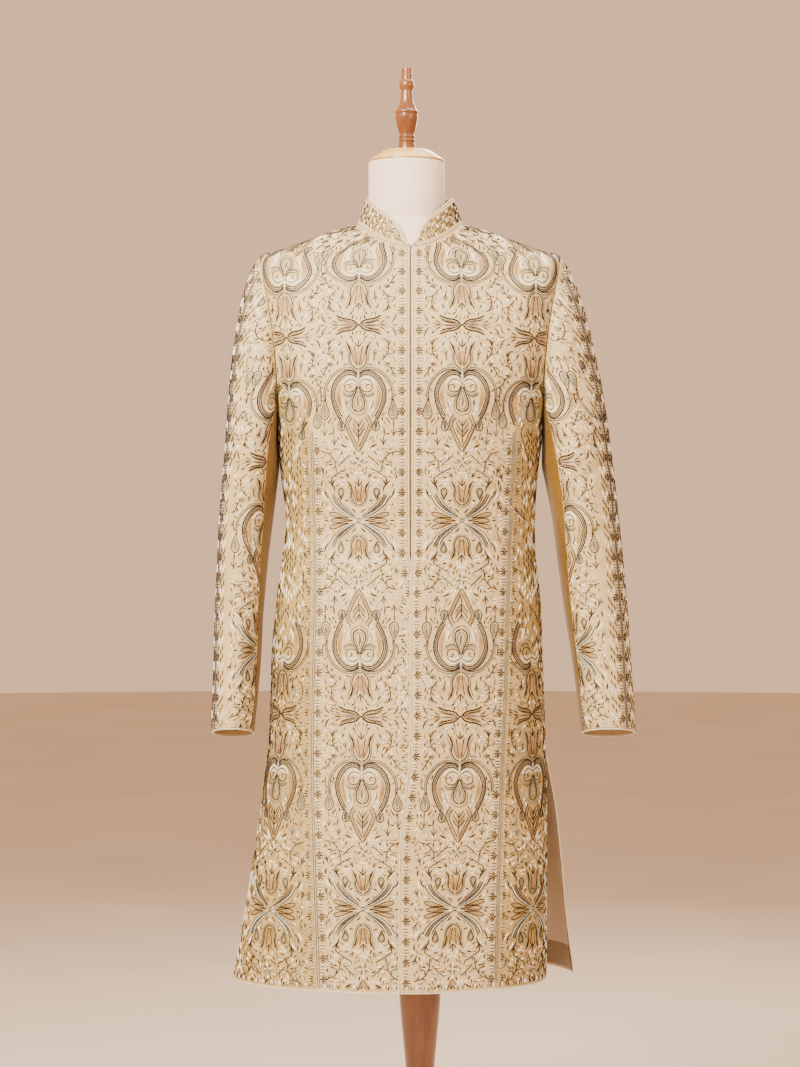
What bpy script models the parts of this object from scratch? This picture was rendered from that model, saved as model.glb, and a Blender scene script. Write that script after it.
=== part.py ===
"""Sherwani coat worn by a limbless dress form on a turned wooden stand.

Metres, +Z up.  The coat's front faces -Y and the wearer's left is +X.  The origin is the
middle of the stand's underside.  The coat is one closed surface through rings, which runs
from the neckline over the shoulders to the hem.  A point of it has a turn (0 at the centre
front, a quarter turn at the wearer's left side) and a ring number.  The panels are cut out
of that surface along their seams, as the cloth was.
"""
import math

import bmesh
import bpy
import numpy as np

# Cloth and seams
WALL = 0.0016
SEAM_GAP = 0.0004
FIT_GAP = 0.00035
QUARTER = math.pi / 2
COAT_X = -0.014

# Rings of the coat's outer face.  The four half widths and both depths are measured from
# the coat's middle, and right and left are the wearer's.  power is that of the oval.
RING_COLUMNS = ("side_z", "front_right", "front_left", "back_right", "back_left",
                "front_y", "front_z", "back_y", "back_z", "power")
RINGS = (
    (1.508, 0.073, 0.073, 0.073, 0.073, -0.075, 1.470, 0.066, 1.515, 2.00),
    (1.498, 0.109, 0.109, 0.109, 0.109, -0.089, 1.436, 0.087, 1.490, 2.00),
    (1.484, 0.148, 0.148, 0.148, 0.148, -0.098, 1.404, 0.101, 1.460, 2.05),
    (1.470, 0.188, 0.188, 0.188, 0.188, -0.105, 1.374, 0.110, 1.430, 2.10),
    (1.462, 0.210, 0.210, 0.210, 0.210, -0.1095, 1.348, 0.115, 1.402, 2.18),
    (1.425, 0.213, 0.213, 0.213, 0.213, -0.1130, 1.322, 0.118, 1.370, 2.34),
    (1.375, 0.208, 0.208, 0.208, 0.208, -0.1155, 1.293, 0.120, 1.333, 2.46),
    (1.310, 0.199, 0.199, 0.199, 0.199, -0.1160, 1.258, 0.119, 1.283, 2.48),
    (1.240, 0.188, 0.189, 0.188, 0.189, -0.1140, 1.220, 0.116, 1.230, 2.44),
    (1.165, 0.1806, 0.1785, 0.1806, 0.1785, -0.110, 1.160, 0.109, 1.163, 2.40),
    (1.095, 0.1727, 0.1740, 0.1727, 0.1740, -0.1055, 1.095, 0.103, 1.095, 2.35),
    (1.040, 0.1790, 0.1757, 0.1790, 0.1757, -0.107, 1.040, 0.106, 1.040, 2.30),
    (0.980, 0.1862, 0.1820, 0.1862, 0.1820, -0.112, 0.980, 0.114, 0.980, 2.30),
    (0.910, 0.1925, 0.1845, 0.1925, 0.1845, -0.118, 0.910, 0.122, 0.910, 2.25),
    (0.840, 0.1946, 0.1870, 0.1946, 0.1870, -0.122, 0.840, 0.127, 0.840, 2.20),
    (0.778, 0.1975, 0.1890, 0.1975, 0.1890, -0.126, 0.778, 0.130, 0.778, 2.20),
    (0.700, 0.2055, 0.1905, 0.2035, 0.2040, -0.131, 0.700, 0.136, 0.700, 2.15),
    (0.620, 0.2172, 0.1908, 0.2120, 0.2135, -0.137, 0.620, 0.143, 0.620, 2.15),
    (0.540, 0.2310, 0.1910, 0.2215, 0.2215, -0.143, 0.540, 0.150, 0.540, 2.10),
    (0.460, 0.2480, 0.1915, 0.2330, 0.2330, -0.150, 0.460, 0.157, 0.460, 2.10),
)
TIP_RING = 4
SLIT_RING = 15
HEM_RING = len(RINGS) - 1
RING_STEPS = tuple(range(len(RINGS)))
RING_TABLE = dict(zip(RING_COLUMNS, zip(*RINGS)))

# Armhole: an oval in turn and ring number, walked from the shoulder tip down to the armpit
ARMPIT_RING = 8.35
ARMHOLE_TURN = math.radians(26)
PRINCESS_WALK = math.radians(116.6)

# Princess seam below the armhole: height, and distance from the coat's middle
PRINCESS_COLUMNS = ("z", "right_x", "left_x")
PRINCESS = (
    (1.235, 0.139, 0.146),
    (1.151, 0.1368, 0.143),
    (1.019, 0.1338, 0.1374),
    (0.863, 0.1361, 0.1330),
    (0.763, 0.1375, 0.1286),
    (0.630, 0.1347, 0.1235),
    (0.460, 0.1279, 0.1190),
)

# Front closure.  The edges stand apart down to the waist.  Below it the left front lies
# over the right one, lifted by LAP_LIFT.
EDGE_COLUMNS = ("z", "right_x", "left_x")
EDGES = (
    (1.470, -0.0034, 0.0040),
    (1.060, -0.0034, 0.0040),
    (1.030, -0.0010, 0.0030),
    (0.980, 0.0090, 0.0010),
    (0.860, 0.0120, 0.0020),
    (0.760, 0.0120, -0.0010),
    (0.660, 0.0120, -0.0120),
    (0.460, 0.0120, -0.0140),
)
LAP_LIFT = 0.0032
LAP_TOP_Z = 1.090
LAP_FULL_Z = 1.055
LAP_FLAT_X = 0.020
LAP_END_X = 0.050

# Side slits: how far each edge stands from the side line, at the top and at the hem
SLIT_START = 0.0031
SLIT_START_RINGS = 0.12
SLIT_AT_HEM = {"front": 0.026, "back": 0.022}

# Sleeves below the bicep: height, reach from the coat's middle, place and half of the
# depth, and the pitch of the ring as the forearm bends forward
SLEEVE_COLUMNS = ("z", "outer_x", "inner_x", "centre_y", "half_depth", "pitch")
SLEEVES = {
    "right": (
        (1.165, 0.2605, 0.1832, -0.002, 0.076, 0.0),
        (1.106, 0.2655, 0.1900, -0.006, 0.072, 2.0),
        (1.043, 0.2680, 0.1975, -0.012, 0.067, 4.0),
        (0.968, 0.2708, 0.2040, -0.021, 0.062, 7.0),
        (0.895, 0.2720, 0.2075, -0.031, 0.058, 9.0),
        (0.802, 0.2740, 0.2155, -0.045, 0.053, 10.0),
    ),
    "left": (
        (1.165, 0.2840, 0.1855, -0.002, 0.076, 0.0),
        (1.106, 0.2900, 0.1975, -0.006, 0.072, 2.0),
        (1.043, 0.2960, 0.2055, -0.012, 0.067, 4.0),
        (0.968, 0.3020, 0.2150, -0.021, 0.062, 7.0),
        (0.895, 0.3060, 0.2260, -0.031, 0.058, 9.0),
        (0.802, 0.3110, 0.2370, -0.045, 0.053, 10.0),
    ),
}
SLEEVE_LENGTH = 0.363
SLEEVE_SEAM_WALK = PRINCESS_WALK + (math.pi - PRINCESS_WALK) / 5
SLEEVE_SEAM_AT_CUFF = math.radians(160)

# Collar
COLLAR_FRONT_GAP = 0.0030
COLLAR_RISE_RUN = (0.0, 0.004, 0.008, 0.012, 0.018, 0.025, 0.034)
COLLAR_RISE = (0.0030, 0.0065, 0.0135, 0.0215, 0.0290, 0.0345, 0.0380)
COLLAR_LEAN = {"front": 0.30, "side": 0.34, "back": 0.22}

# Small pieces
PIPING_RADIUS = 0.0011
UNDERLAP_HALF_WIDTH = 0.017
UNDERLAP_END_RING = 10.85
STRIP_WALL = 0.0012
LINING_COLUMNS = 5
LINING_SET_BACK = 0.006
FACING_HEIGHT_RINGS = 0.45

# Dress form and stand: turned profiles as radius and height
NECK_X = -0.0185
NECK_RADIUS = 0.0535
NECK_BOTTOM = 1.5153
NECK_TOP = 1.5957
TORSO_TOP = 1.515
TORSO_END_RING = 14.6
CAP_PROFILE = ((0.0535, 1.5960), (0.0535, 1.5978), (0.0330, 1.6118))
FINIAL_PROFILE = (
    (0.0124, 1.6121), (0.0125, 1.6145), (0.0106, 1.6225), (0.0115, 1.6265), (0.0104, 1.6290),
    (0.0113, 1.6315), (0.0099, 1.6350), (0.0133, 1.6450), (0.0154, 1.6555), (0.0158, 1.6610),
    (0.0163, 1.6662), (0.0141, 1.6695), (0.0109, 1.6768), (0.0089, 1.6832), (0.0079, 1.6945),
    (0.0098, 1.7005), (0.0104, 1.7045), (0.0095, 1.7090), (0.0077, 1.7122), (0.0073, 1.7270),
)
POST_PROFILE = (
    (0.0300, 0.0303), (0.0270, 0.0420), (0.0190, 0.0700), (0.0185, 0.2200), (0.0200, 0.3200),
    (0.0235, 0.3650), (0.0272, 0.4050), (0.0292, 0.4400), (0.0300, 0.5200), (0.0300, 0.8035),
)
BASE_PROFILE = ((0.1900, 0.0), (0.1960, 0.0040), (0.1960, 0.0200), (0.1900, 0.0270),
                (0.0450, 0.0300))
TORSO_BOTTOM = 0.8038

# How finely the panels are divided
SHOULDER_ROWS = (0, 1, 2, 3)
SLIT_STEP = (SLIT_RING - ARMPIT_RING) / (HEM_RING - ARMPIT_RING)
SLIT_OPEN_STEP = SLIT_STEP + SLIT_START_RINGS / (HEM_RING - ARMPIT_RING)
SKIRT_STEPS = (0, 0.03, 0.075, 0.13, 0.19, 0.26, 0.34, 0.42, 0.49, 0.56,
               SLIT_STEP, SLIT_OPEN_STEP, 0.70, 0.78, 0.86, 0.93, 1)
WALK_FRONT = tuple(PRINCESS_WALK * k / 8 for k in range(9))
WALK_UNDER = tuple(PRINCESS_WALK + (math.pi - PRINCESS_WALK) * k / 5 for k in range(6))
WALK_BACK = tuple(math.pi * k / 11 for k in range(12))
BACK_SEAM = 8
SLEEVE_CAP_STEPS = (0, 0.08, 0.18, 0.30, 0.44, 0.60, 0.80)
SLEEVE_ARM_STEPS = (0, 0.10, 0.22, 0.36, 0.50, 0.64, 0.78, 0.90, 1)

# Colours and finish: red, green, blue, roughness
FINISHES = {
    "brocade": (0.83, 0.72, 0.50, 0.55),
    "gold_silk": (0.60, 0.40, 0.12, 0.45),
    "piping": (0.90, 0.83, 0.62, 0.50),
    "lining": (0.62, 0.42, 0.30, 0.60),
    "form_cloth": (0.80, 0.68, 0.58, 0.80),
    "pale_wood": (0.80, 0.70, 0.45, 0.45),
    "brown_wood": (0.42, 0.19, 0.07, 0.30),
}


def clear_scene():
    for thing in list(bpy.data.objects):
        bpy.data.objects.remove(thing, do_unlink=True)


def finish(name):
    """The material of that name, made once."""
    found = bpy.data.materials.get(name)
    if found:
        return found
    red, green, blue, roughness = FINISHES[name]
    made = bpy.data.materials.new(name)
    made.use_nodes = True
    shader = made.node_tree.nodes["Principled BSDF"]
    shader.inputs["Base Color"].default_value = (red, green, blue, 1)
    shader.inputs["Roughness"].default_value = roughness
    shader.inputs["Metallic"].default_value = 0
    return made


def add_object(name, data, finish_name, collection):
    made = bpy.data.objects.new(name, data)
    data.materials.append(finish(finish_name))
    collection.objects.link(made)
    return made


def smooth(value):
    """Ease from 0 to 1, flat at both ends."""
    value = min(max(value, 0.0), 1.0)
    return value * value * (3 - 2 * value)


def mix(start, end, share):
    return start + (end - start) * share


def curve_value(xs, ys, x):
    """Smooth curve through a short table, read at x."""
    rising = xs[-1] > xs[0]
    k = 0
    while k < len(xs) - 2 and (x > xs[k + 1] if rising else x < xs[k + 1]):
        k += 1

    def slope(i):
        low = max(i - 1, 0)
        high = min(i + 1, len(xs) - 1)
        return (ys[high] - ys[low]) / (xs[high] - xs[low])

    width = xs[k + 1] - xs[k]
    share = min(max((x - xs[k]) / width, 0.0), 1.0)
    rest = 1 - share
    return (ys[k] * rest * rest * (1 + 2 * share) + ys[k + 1] * share * share * (3 - 2 * share)
            + width * share * rest * (slope(k) * rest - slope(k + 1) * share))


def table_column(rows, columns, name):
    return tuple(row[columns.index(name)] for row in rows)


def ring_value(column, ring):
    return curve_value(RING_STEPS, RING_TABLE[column], ring)


def ring_at_height(z):
    """Ring number at a height below the armpit, where the rings are level."""
    heights = RING_TABLE["side_z"]
    return float(np.interp(-z, [-height for height in heights], RING_STEPS))


def signed_power(value, exponent):
    return math.copysign(abs(value) ** exponent, value)


def coat_point(turn, ring, half):
    """Point of the coat's outer face, on its front or back half."""
    side = half + ("_left" if turn > 0 else "_right")
    exponent = 2 / ring_value("power", ring)
    forward = math.cos(turn) if half == "front" else -math.cos(turn)
    side_z = ring_value("side_z", ring)
    x = ring_value(side, ring) * signed_power(math.sin(turn), exponent)
    y = ring_value(half + "_y", ring) * signed_power(forward, exponent)
    z = side_z + (ring_value(half + "_z", ring) - side_z) * forward * forward
    return np.array((COAT_X + x, y, z))


def surface_frame(point_at, first, second, step=1e-3):
    """Both tangents and the unit normal of a surface, from small differences."""
    along_first = (point_at(first + step, second) - point_at(first - step, second)) / (2 * step)
    along_second = (point_at(first, second + step) - point_at(first, second - step)) / (2 * step)
    normal = np.cross(along_second, along_first)
    return along_first, along_second, normal / np.linalg.norm(normal)


def coat_frame(turn, ring, half):
    ring = min(max(ring, 0.002), HEM_RING - 0.002)
    return surface_frame(lambda a, b: coat_point(a, b, half), turn, ring)


def turn_at_x(x, ring, half):
    """Turn at which the coat is x to the wearer's left of its middle."""
    side = half + ("_left" if x > 0 else "_right")
    share = abs(x) / ring_value(side, ring)
    return math.copysign(math.asin(min(share, 1.0) ** (ring_value("power", ring) / 2)), x)


def armhole(walk, sign, toward_back=False):
    """Turn and ring of the armhole's edge, from the tip (walk 0) to the armpit (walk pi)."""
    middle = (TIP_RING + ARMPIT_RING) / 2
    ring = middle - (ARMPIT_RING - TIP_RING) / 2 * math.cos(walk)
    offset = ARMHOLE_TURN * math.sin(walk)
    return sign * (QUARTER + offset if toward_back else QUARTER - offset), ring


def princess_turn(ring, side):
    """Turn of the princess seam, which leaves the armhole and falls to the hem."""
    sign = 1 if side == "left" else -1
    start_turn, start_ring = armhole(PRINCESS_WALK, sign)
    heights = table_column(PRINCESS, PRINCESS_COLUMNS, "z")
    reach = table_column(PRINCESS, PRINCESS_COLUMNS, side + "_x")
    first_ring = ring_at_height(heights[0])
    if ring >= first_ring:
        x = curve_value(heights, reach, ring_value("side_z", ring))
        return turn_at_x(sign * x, ring, "front")
    end_turn = turn_at_x(sign * reach[0], first_ring, "front")
    share = (ring - start_ring) / (first_ring - start_ring)
    return mix(start_turn, end_turn, math.sin(share * QUARTER))


def edge_turn(ring, side):
    """Turn of the front edge."""
    z = ring_value("front_z", ring)
    x = curve_value(table_column(EDGES, EDGE_COLUMNS, "z"),
                    table_column(EDGES, EDGE_COLUMNS, side + "_x"), z)
    return turn_at_x(x, ring, "front")


def slit_turn(ring, sign, half):
    """Turn of the side seam, and of the slit's edge below it."""
    below = max(ring - SLIT_RING, 0)
    open_y = SLIT_START * min(below / SLIT_START_RINGS, 1)
    open_y = open_y + (SLIT_AT_HEM[half] - SLIT_START) * below / (HEM_RING - SLIT_RING)
    share = open_y / abs(ring_value(half + "_y", ring))
    back_off = math.asin(share ** (ring_value("power", ring) / 2))
    return sign * (QUARTER - back_off if half == "front" else QUARTER + back_off)


def trimmed(boundary, ring, half, direction):
    """A seam's turn, moved away from its neighbour by half of the seam gap."""
    turn = boundary(ring)
    along_turn, along_ring, _ = coat_frame(turn, ring, half)
    step = 0.02
    slope = (boundary(min(ring + step, HEM_RING)) - boundary(ring)) / step
    run = along_turn * slope + along_ring
    reach = np.linalg.norm(np.cross(along_turn, run)) / np.linalg.norm(run)
    return turn + direction * SEAM_GAP / 2 / reach


def lap_lift(point):
    """How far the left front lies above the coat's surface, over the right front."""
    x = point[0] - COAT_X
    height = smooth((LAP_TOP_Z - point[2]) / (LAP_TOP_Z - LAP_FULL_Z))
    width = smooth((LAP_END_X - x) / (LAP_END_X - LAP_FLAT_X))
    return LAP_LIFT * height * width


def wall_object(name, outer, inner, finish_name, collection, closed=False):
    """A cloth wall between two grids of points, closed round its rim.

    The inner grid comes from the surface's own normals, which neighbours share, so
    that walls stay apart at their seams.
    """
    mesh = bmesh.new()
    faces = [[[mesh.verts.new(point) for point in row] for row in grid]
             for grid in (outer, inner)]
    rows = len(outer)
    columns = len(outer[0])
    steps = columns if closed else columns - 1
    for grid in faces:
        for i in range(rows - 1):
            for j in range(steps):
                k = (j + 1) % columns
                mesh.faces.new((grid[i][j], grid[i][k], grid[i + 1][k], grid[i + 1][j]))
    for i in (0, rows - 1):
        for j in range(steps):
            k = (j + 1) % columns
            mesh.faces.new((faces[0][i][j], faces[0][i][k], faces[1][i][k], faces[1][i][j]))
    if not closed:
        for j in (0, columns - 1):
            for i in range(rows - 1):
                mesh.faces.new((faces[0][i][j], faces[0][i + 1][j],
                                faces[1][i + 1][j], faces[1][i][j]))
    bmesh.ops.recalc_face_normals(mesh, faces=mesh.faces)
    data = bpy.data.meshes.new(name)
    mesh.to_mesh(data)
    mesh.free()
    data.shade_smooth()
    data.set_sharp_from_angle(angle=math.radians(40))
    return add_object(name, data, finish_name, collection)


def panel(name, chart, half, finish_name, collection, depth=0.0, thick=WALL, lift=None):
    """A cloth wall over rows of (turn, ring), depth below the coat's outer face."""
    outer = []
    inner = []
    for row in chart:
        outer_row = []
        inner_row = []
        for turn, ring in row:
            point = coat_point(turn, ring, half)
            normal = coat_frame(turn, ring, half)[2]
            rise = lift(point) if lift else 0.0
            top = point + normal * (rise - depth)
            outer_row.append(top)
            inner_row.append(top - normal * thick)
        outer.append(outer_row)
        inner.append(inner_row)
    return wall_object(name, outer, inner, finish_name, collection)


def even(start, end, count):
    return [mix(start, end, k / (count - 1)) for k in range(count)]


def skirt_rings(first):
    return [mix(first, HEM_RING, step) for step in SKIRT_STEPS]


def front_rings():
    start = armhole(PRINCESS_WALK, 1)[1]
    return (list(SHOULDER_ROWS) + [armhole(walk, 1)[1] for walk in WALK_FRONT[:-1]]
            + skirt_rings(start))


def back_rings():
    return (list(SHOULDER_ROWS) + [armhole(walk, 1, True)[1] for walk in WALK_BACK[:-1]]
            + skirt_rings(ARMPIT_RING))


def front_outline(ring, side):
    """Outer edge of a front: shoulder seam, armhole, then princess seam."""
    sign = 1 if side == "left" else -1
    start = armhole(PRINCESS_WALK, 1)[1]
    if ring <= TIP_RING:
        return trimmed(lambda r: sign * QUARTER, ring, "front", -sign)
    if ring < start - 1e-6:
        middle = (TIP_RING + ARMPIT_RING) / 2
        walk = math.acos((middle - ring) / (ARMPIT_RING - middle))
        return armhole(walk, sign)[0]
    return trimmed(lambda r: princess_turn(r, side), ring, "front", -sign)


def back_outline(ring, side):
    """Outer edge of a back: shoulder seam, armhole, side seam, then slit."""
    sign = 1 if side == "left" else -1
    if TIP_RING < ring < ARMPIT_RING - 1e-6:
        middle = (TIP_RING + ARMPIT_RING) / 2
        walk = math.acos((middle - ring) / (ARMPIT_RING - middle))
        return armhole(walk, sign, True)[0]
    return trimmed(lambda r: slit_turn(r, sign, "back"), ring, "back", sign)


def make_fronts(collection):
    for side in ("right", "left"):
        chart = [[(turn, ring) for turn in even(edge_turn(ring, side),
                                                front_outline(ring, side), 9)]
                 for ring in front_rings()]
        panel("front_" + side, chart, "front", "brocade", collection,
              lift=lap_lift if side == "left" else None)


def make_side_fronts(collection):
    """Panels between the princess seam and the side seam, hung from the armhole's low arc."""
    for side, sign in (("right", -1), ("left", 1)):
        chart = []
        for step in SKIRT_STEPS:
            row = []
            for j, walk in enumerate(WALK_UNDER):
                share = j / (len(WALK_UNDER) - 1)
                top_turn, top_ring = armhole(walk, sign)
                ring = mix(top_ring, HEM_RING, step)
                seam = trimmed(lambda r: princess_turn(r, side), ring, "front", sign)
                edge = trimmed(lambda r: slit_turn(r, sign, "front"), ring, "front", -sign)
                top_seam = princess_turn(top_ring, side)
                top_share = (top_turn - top_seam) / (sign * QUARTER - top_seam)
                share = mix(top_share, share, smooth(step / 0.15))
                row.append((mix(seam, edge, share), ring))
            chart.append(row)
        panel("side_front_" + side, chart, "front", "brocade", collection)


def back_turns(ring, side):
    """Turns of a back panel's points, from the centre-back seam to its outer edge."""
    sign = 1 if side == "left" else -1
    middle = trimmed(lambda r: sign * math.pi, ring, "back", -sign)
    return even(middle, back_outline(ring, side), 10)


def make_backs(collection):
    for side in ("right", "left"):
        chart = [[(turn, ring) for turn in back_turns(ring, side)] for ring in back_rings()]
        panel("back_" + side, chart, "back", "brocade", collection)


def make_collar(collection):
    """Standing band that leans to the neck, with its front corners cut round."""
    turns = np.concatenate((np.linspace(0, 0.62, 9), np.linspace(0.62, math.pi, 13)[1:]))
    first = turn_at_x(COLLAR_FRONT_GAP, 0, "front")
    turns = [first + turn * (1 - first / math.pi) for turn in turns]
    turns = turns + [2 * math.pi - turn for turn in reversed(turns[:-1])]
    base = []
    for turn in turns:
        half = "front" if math.cos(turn) > 0 else "back"
        wrapped = turn if turn <= math.pi else turn - 2 * math.pi
        base.append(coat_point(wrapped, 0, half))
    run = np.concatenate(((0,), np.cumsum([np.linalg.norm(b - a) for a, b
                                           in zip(base, base[1:])])))
    outer = [[], [], [], []]
    inner = [[], [], [], []]
    for k, turn in enumerate(turns):
        near_end = min(run[k], run[-1] - run[k], COLLAR_RISE_RUN[-1])
        height = curve_value(COLLAR_RISE_RUN, COLLAR_RISE, near_end)
        front = COLLAR_LEAN["front" if math.cos(turn) > 0 else "back"]
        lean = mix(front, COLLAR_LEAN["side"], math.sin(turn) ** 2)
        outward = np.array((math.sin(turn), -math.cos(turn), 0))
        up = np.array((0, 0, 1)) - outward * lean
        up = up / np.linalg.norm(up)
        normal = outward + np.array((0, 0, lean))
        normal = normal / np.linalg.norm(normal)
        for i in range(4):
            point = base[k] + np.array((0, 0, SEAM_GAP)) + up * height * i / 3
            outer[i].append(point)
            inner[i].append(point - normal * WALL)
    wall_object("collar", outer, inner, "brocade", collection)


def seam_turn_in_sleeve(walk, share):
    """Angle round the sleeve; the seams draw together under the arm towards the cuff."""
    seam = mix(SLEEVE_SEAM_WALK, SLEEVE_SEAM_AT_CUFF, share)
    size = abs(walk)
    if size <= SLEEVE_SEAM_WALK:
        angle = size * seam / SLEEVE_SEAM_WALK
    else:
        angle = mix(seam, math.pi, (size - SLEEVE_SEAM_WALK) / (math.pi - SLEEVE_SEAM_WALK))
    return math.copysign(angle, walk)


def sleeve_ring_point(side, walk, share):
    """Point of the sleeve from the bicep (share 0) to the cuff (share 1)."""
    rows = SLEEVES[side]
    steps = tuple(k / (len(rows) - 1) for k in range(len(rows)))
    z, outer_x, inner_x, centre_y, half_depth, pitch = (
        curve_value(steps, table_column(rows, SLEEVE_COLUMNS, name), share)
        for name in SLEEVE_COLUMNS)
    angle = seam_turn_in_sleeve(walk, share)
    x = mix(inner_x, outer_x, (1 + math.cos(angle)) / 2)
    y = centre_y - half_depth * math.sin(angle)
    sign = 1 if side == "left" else -1
    return np.array((COAT_X + sign * x, y,
                     z - (y - centre_y) * math.tan(math.radians(pitch))))


def sleeve_start(side, walk):
    """Sleeve's edge at the armhole: just inside the cut, and clear of the body below."""
    sign = 1 if side == "left" else -1
    half = "front" if walk >= 0 else "back"
    turn, ring = armhole(abs(walk), sign, walk < 0)
    point = coat_point(turn, ring, half)
    normal = coat_frame(turn, ring, half)[2]
    nearby_turn, nearby_ring = armhole(min(abs(walk) + 0.01, math.pi), sign, walk < 0)
    before_turn, before_ring = armhole(max(abs(walk) - 0.01, 0), sign, walk < 0)
    run = coat_point(nearby_turn, nearby_ring, half) - coat_point(before_turn, before_ring, half)
    into = np.cross(normal, run)
    into = into / np.linalg.norm(into)
    centre = coat_point(sign * QUARTER, (TIP_RING + ARMPIT_RING) / 2, "front")
    if np.dot(into, centre - point) < 0:
        into = -into
    low = smooth(abs(walk) / math.pi)
    return point + into * SEAM_GAP + normal * mix(0.0, 0.0007, low)


def sleeve_point(side, walk, place):
    """Point of the sleeve: place -1 to 0 runs from the armhole to the bicep, 0 to 1 on."""
    if place >= 0:
        return sleeve_ring_point(side, walk, place)
    share = place + 1
    start = sleeve_start(side, walk)
    end = sleeve_ring_point(side, walk, 0)
    length = np.linalg.norm(end - start)
    sign = 1 if side == "left" else -1
    round_x = 0.225 + 0.175 * math.cos(walk)
    leave = np.array((sign * round_x, -0.30 * math.sin(walk),
                      -0.73 + 0.27 * math.cos(walk))) * length
    arrive = (sleeve_ring_point(side, walk, 0.02) - end) / 0.02 * length / SLEEVE_LENGTH
    rest = 1 - share
    return (start * rest * rest * (1 + 2 * share) + end * share * share * (3 - 2 * share)
            + share * rest * (leave * rest - arrive * share))


def sleeve_wall_points(side, walk, place):
    """Outer and inner point of the sleeve's wall."""
    inside_place = min(max(place, -0.998), 0.998)
    _, _, normal = surface_frame(lambda a, b: sleeve_point(side, a, b), walk, inside_place,
                                 1.5e-3)
    point = sleeve_point(side, walk, place)
    row_middle = (sleeve_point(side, 0, place) + sleeve_point(side, math.pi, place)) / 2
    if np.dot(normal, point - row_middle) < 0:
        normal = -normal
    return point, point - normal * WALL


def make_sleeves(collection):
    places = [step - 1 for step in SLEEVE_CAP_STEPS] + list(SLEEVE_ARM_STEPS)
    upper = ([-walk for walk in reversed(WALK_BACK[1:BACK_SEAM + 1])] + list(WALK_FRONT)
             + [WALK_UNDER[1]])
    under = (list(WALK_UNDER[1:])
             + [2 * math.pi - walk for walk in reversed(WALK_BACK[BACK_SEAM:-1])])
    for side in ("right", "left"):
        for part, walks in (("upper", upper), ("under", under)):
            outer = []
            inner = []
            for place in places:
                outer_row = []
                inner_row = []
                for k, walk in enumerate(walks):
                    signed = walk if walk <= math.pi else walk - 2 * math.pi
                    if k in (0, len(walks) - 1):
                        ahead = sleeve_point(side, signed + 0.01, max(place, -0.99))
                        behind = sleeve_point(side, signed - 0.01, max(place, -0.99))
                        speed = np.linalg.norm(ahead - behind) / 0.02
                        trim = SEAM_GAP / 2 / speed
                        signed = signed + trim if k == 0 else signed - trim
                    points = sleeve_wall_points(side, signed, place)
                    outer_row.append(points[0])
                    inner_row.append(points[1])
                outer.append(outer_row)
                inner.append(inner_row)
            wall_object("sleeve_" + part + "_" + side, outer, inner,
                        "brocade" if part == "upper" else "gold_silk", collection)


def piping(name, points, finish_name, collection, cyclic=False):
    """A round cord along an edge."""
    data = bpy.data.curves.new(name, "CURVE")
    data.dimensions = "3D"
    data.bevel_depth = PIPING_RADIUS
    data.bevel_resolution = 1
    data.use_fill_caps = not cyclic
    line = data.splines.new("POLY")
    line.points.add(len(points) - 1)
    for slot, point in zip(line.points, points):
        slot.co = (*point, 1)
    line.use_cyclic_u = cyclic
    return add_object(name, data, finish_name, collection)


def edge_cord(boundary, rings, half, direction, lift=None):
    """Middle line of the piping beside an edge that runs down the coat."""
    points = []
    for ring in rings:
        turn = boundary(ring)
        along_turn, along_ring, normal = coat_frame(turn, ring, half)
        step = 0.02
        low = max(ring - step, 0)
        high = min(ring + step, HEM_RING)
        slope = (boundary(high) - boundary(low)) / (high - low)
        run = along_turn * slope + along_ring
        away = np.cross(run, normal)
        away = away / np.linalg.norm(away)
        if np.dot(away, along_turn) * direction < 0:
            away = -away
        point = coat_point(turn, ring, half)
        rise = lift(point) if lift else 0.0
        points.append(point + away * (PIPING_RADIUS + FIT_GAP) + normal * (rise - WALL / 2))
    return points


def hem_cord(turns, half, lift=None):
    """Middle line of the piping under the hem."""
    points = []
    for turn in turns:
        point = coat_point(turn, HEM_RING, half)
        normal = coat_frame(turn, HEM_RING, half)[2]
        rise = lift(point) if lift else 0.0
        point = point + normal * (rise - WALL / 2)
        point[2] = point[2] - PIPING_RADIUS - FIT_GAP
        points.append(point)
    return points


def drop(points, distance):
    """The same line, with its last point carried straight down."""
    last = points[-1] - np.array((0, 0, distance))
    return points + [last]


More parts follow.
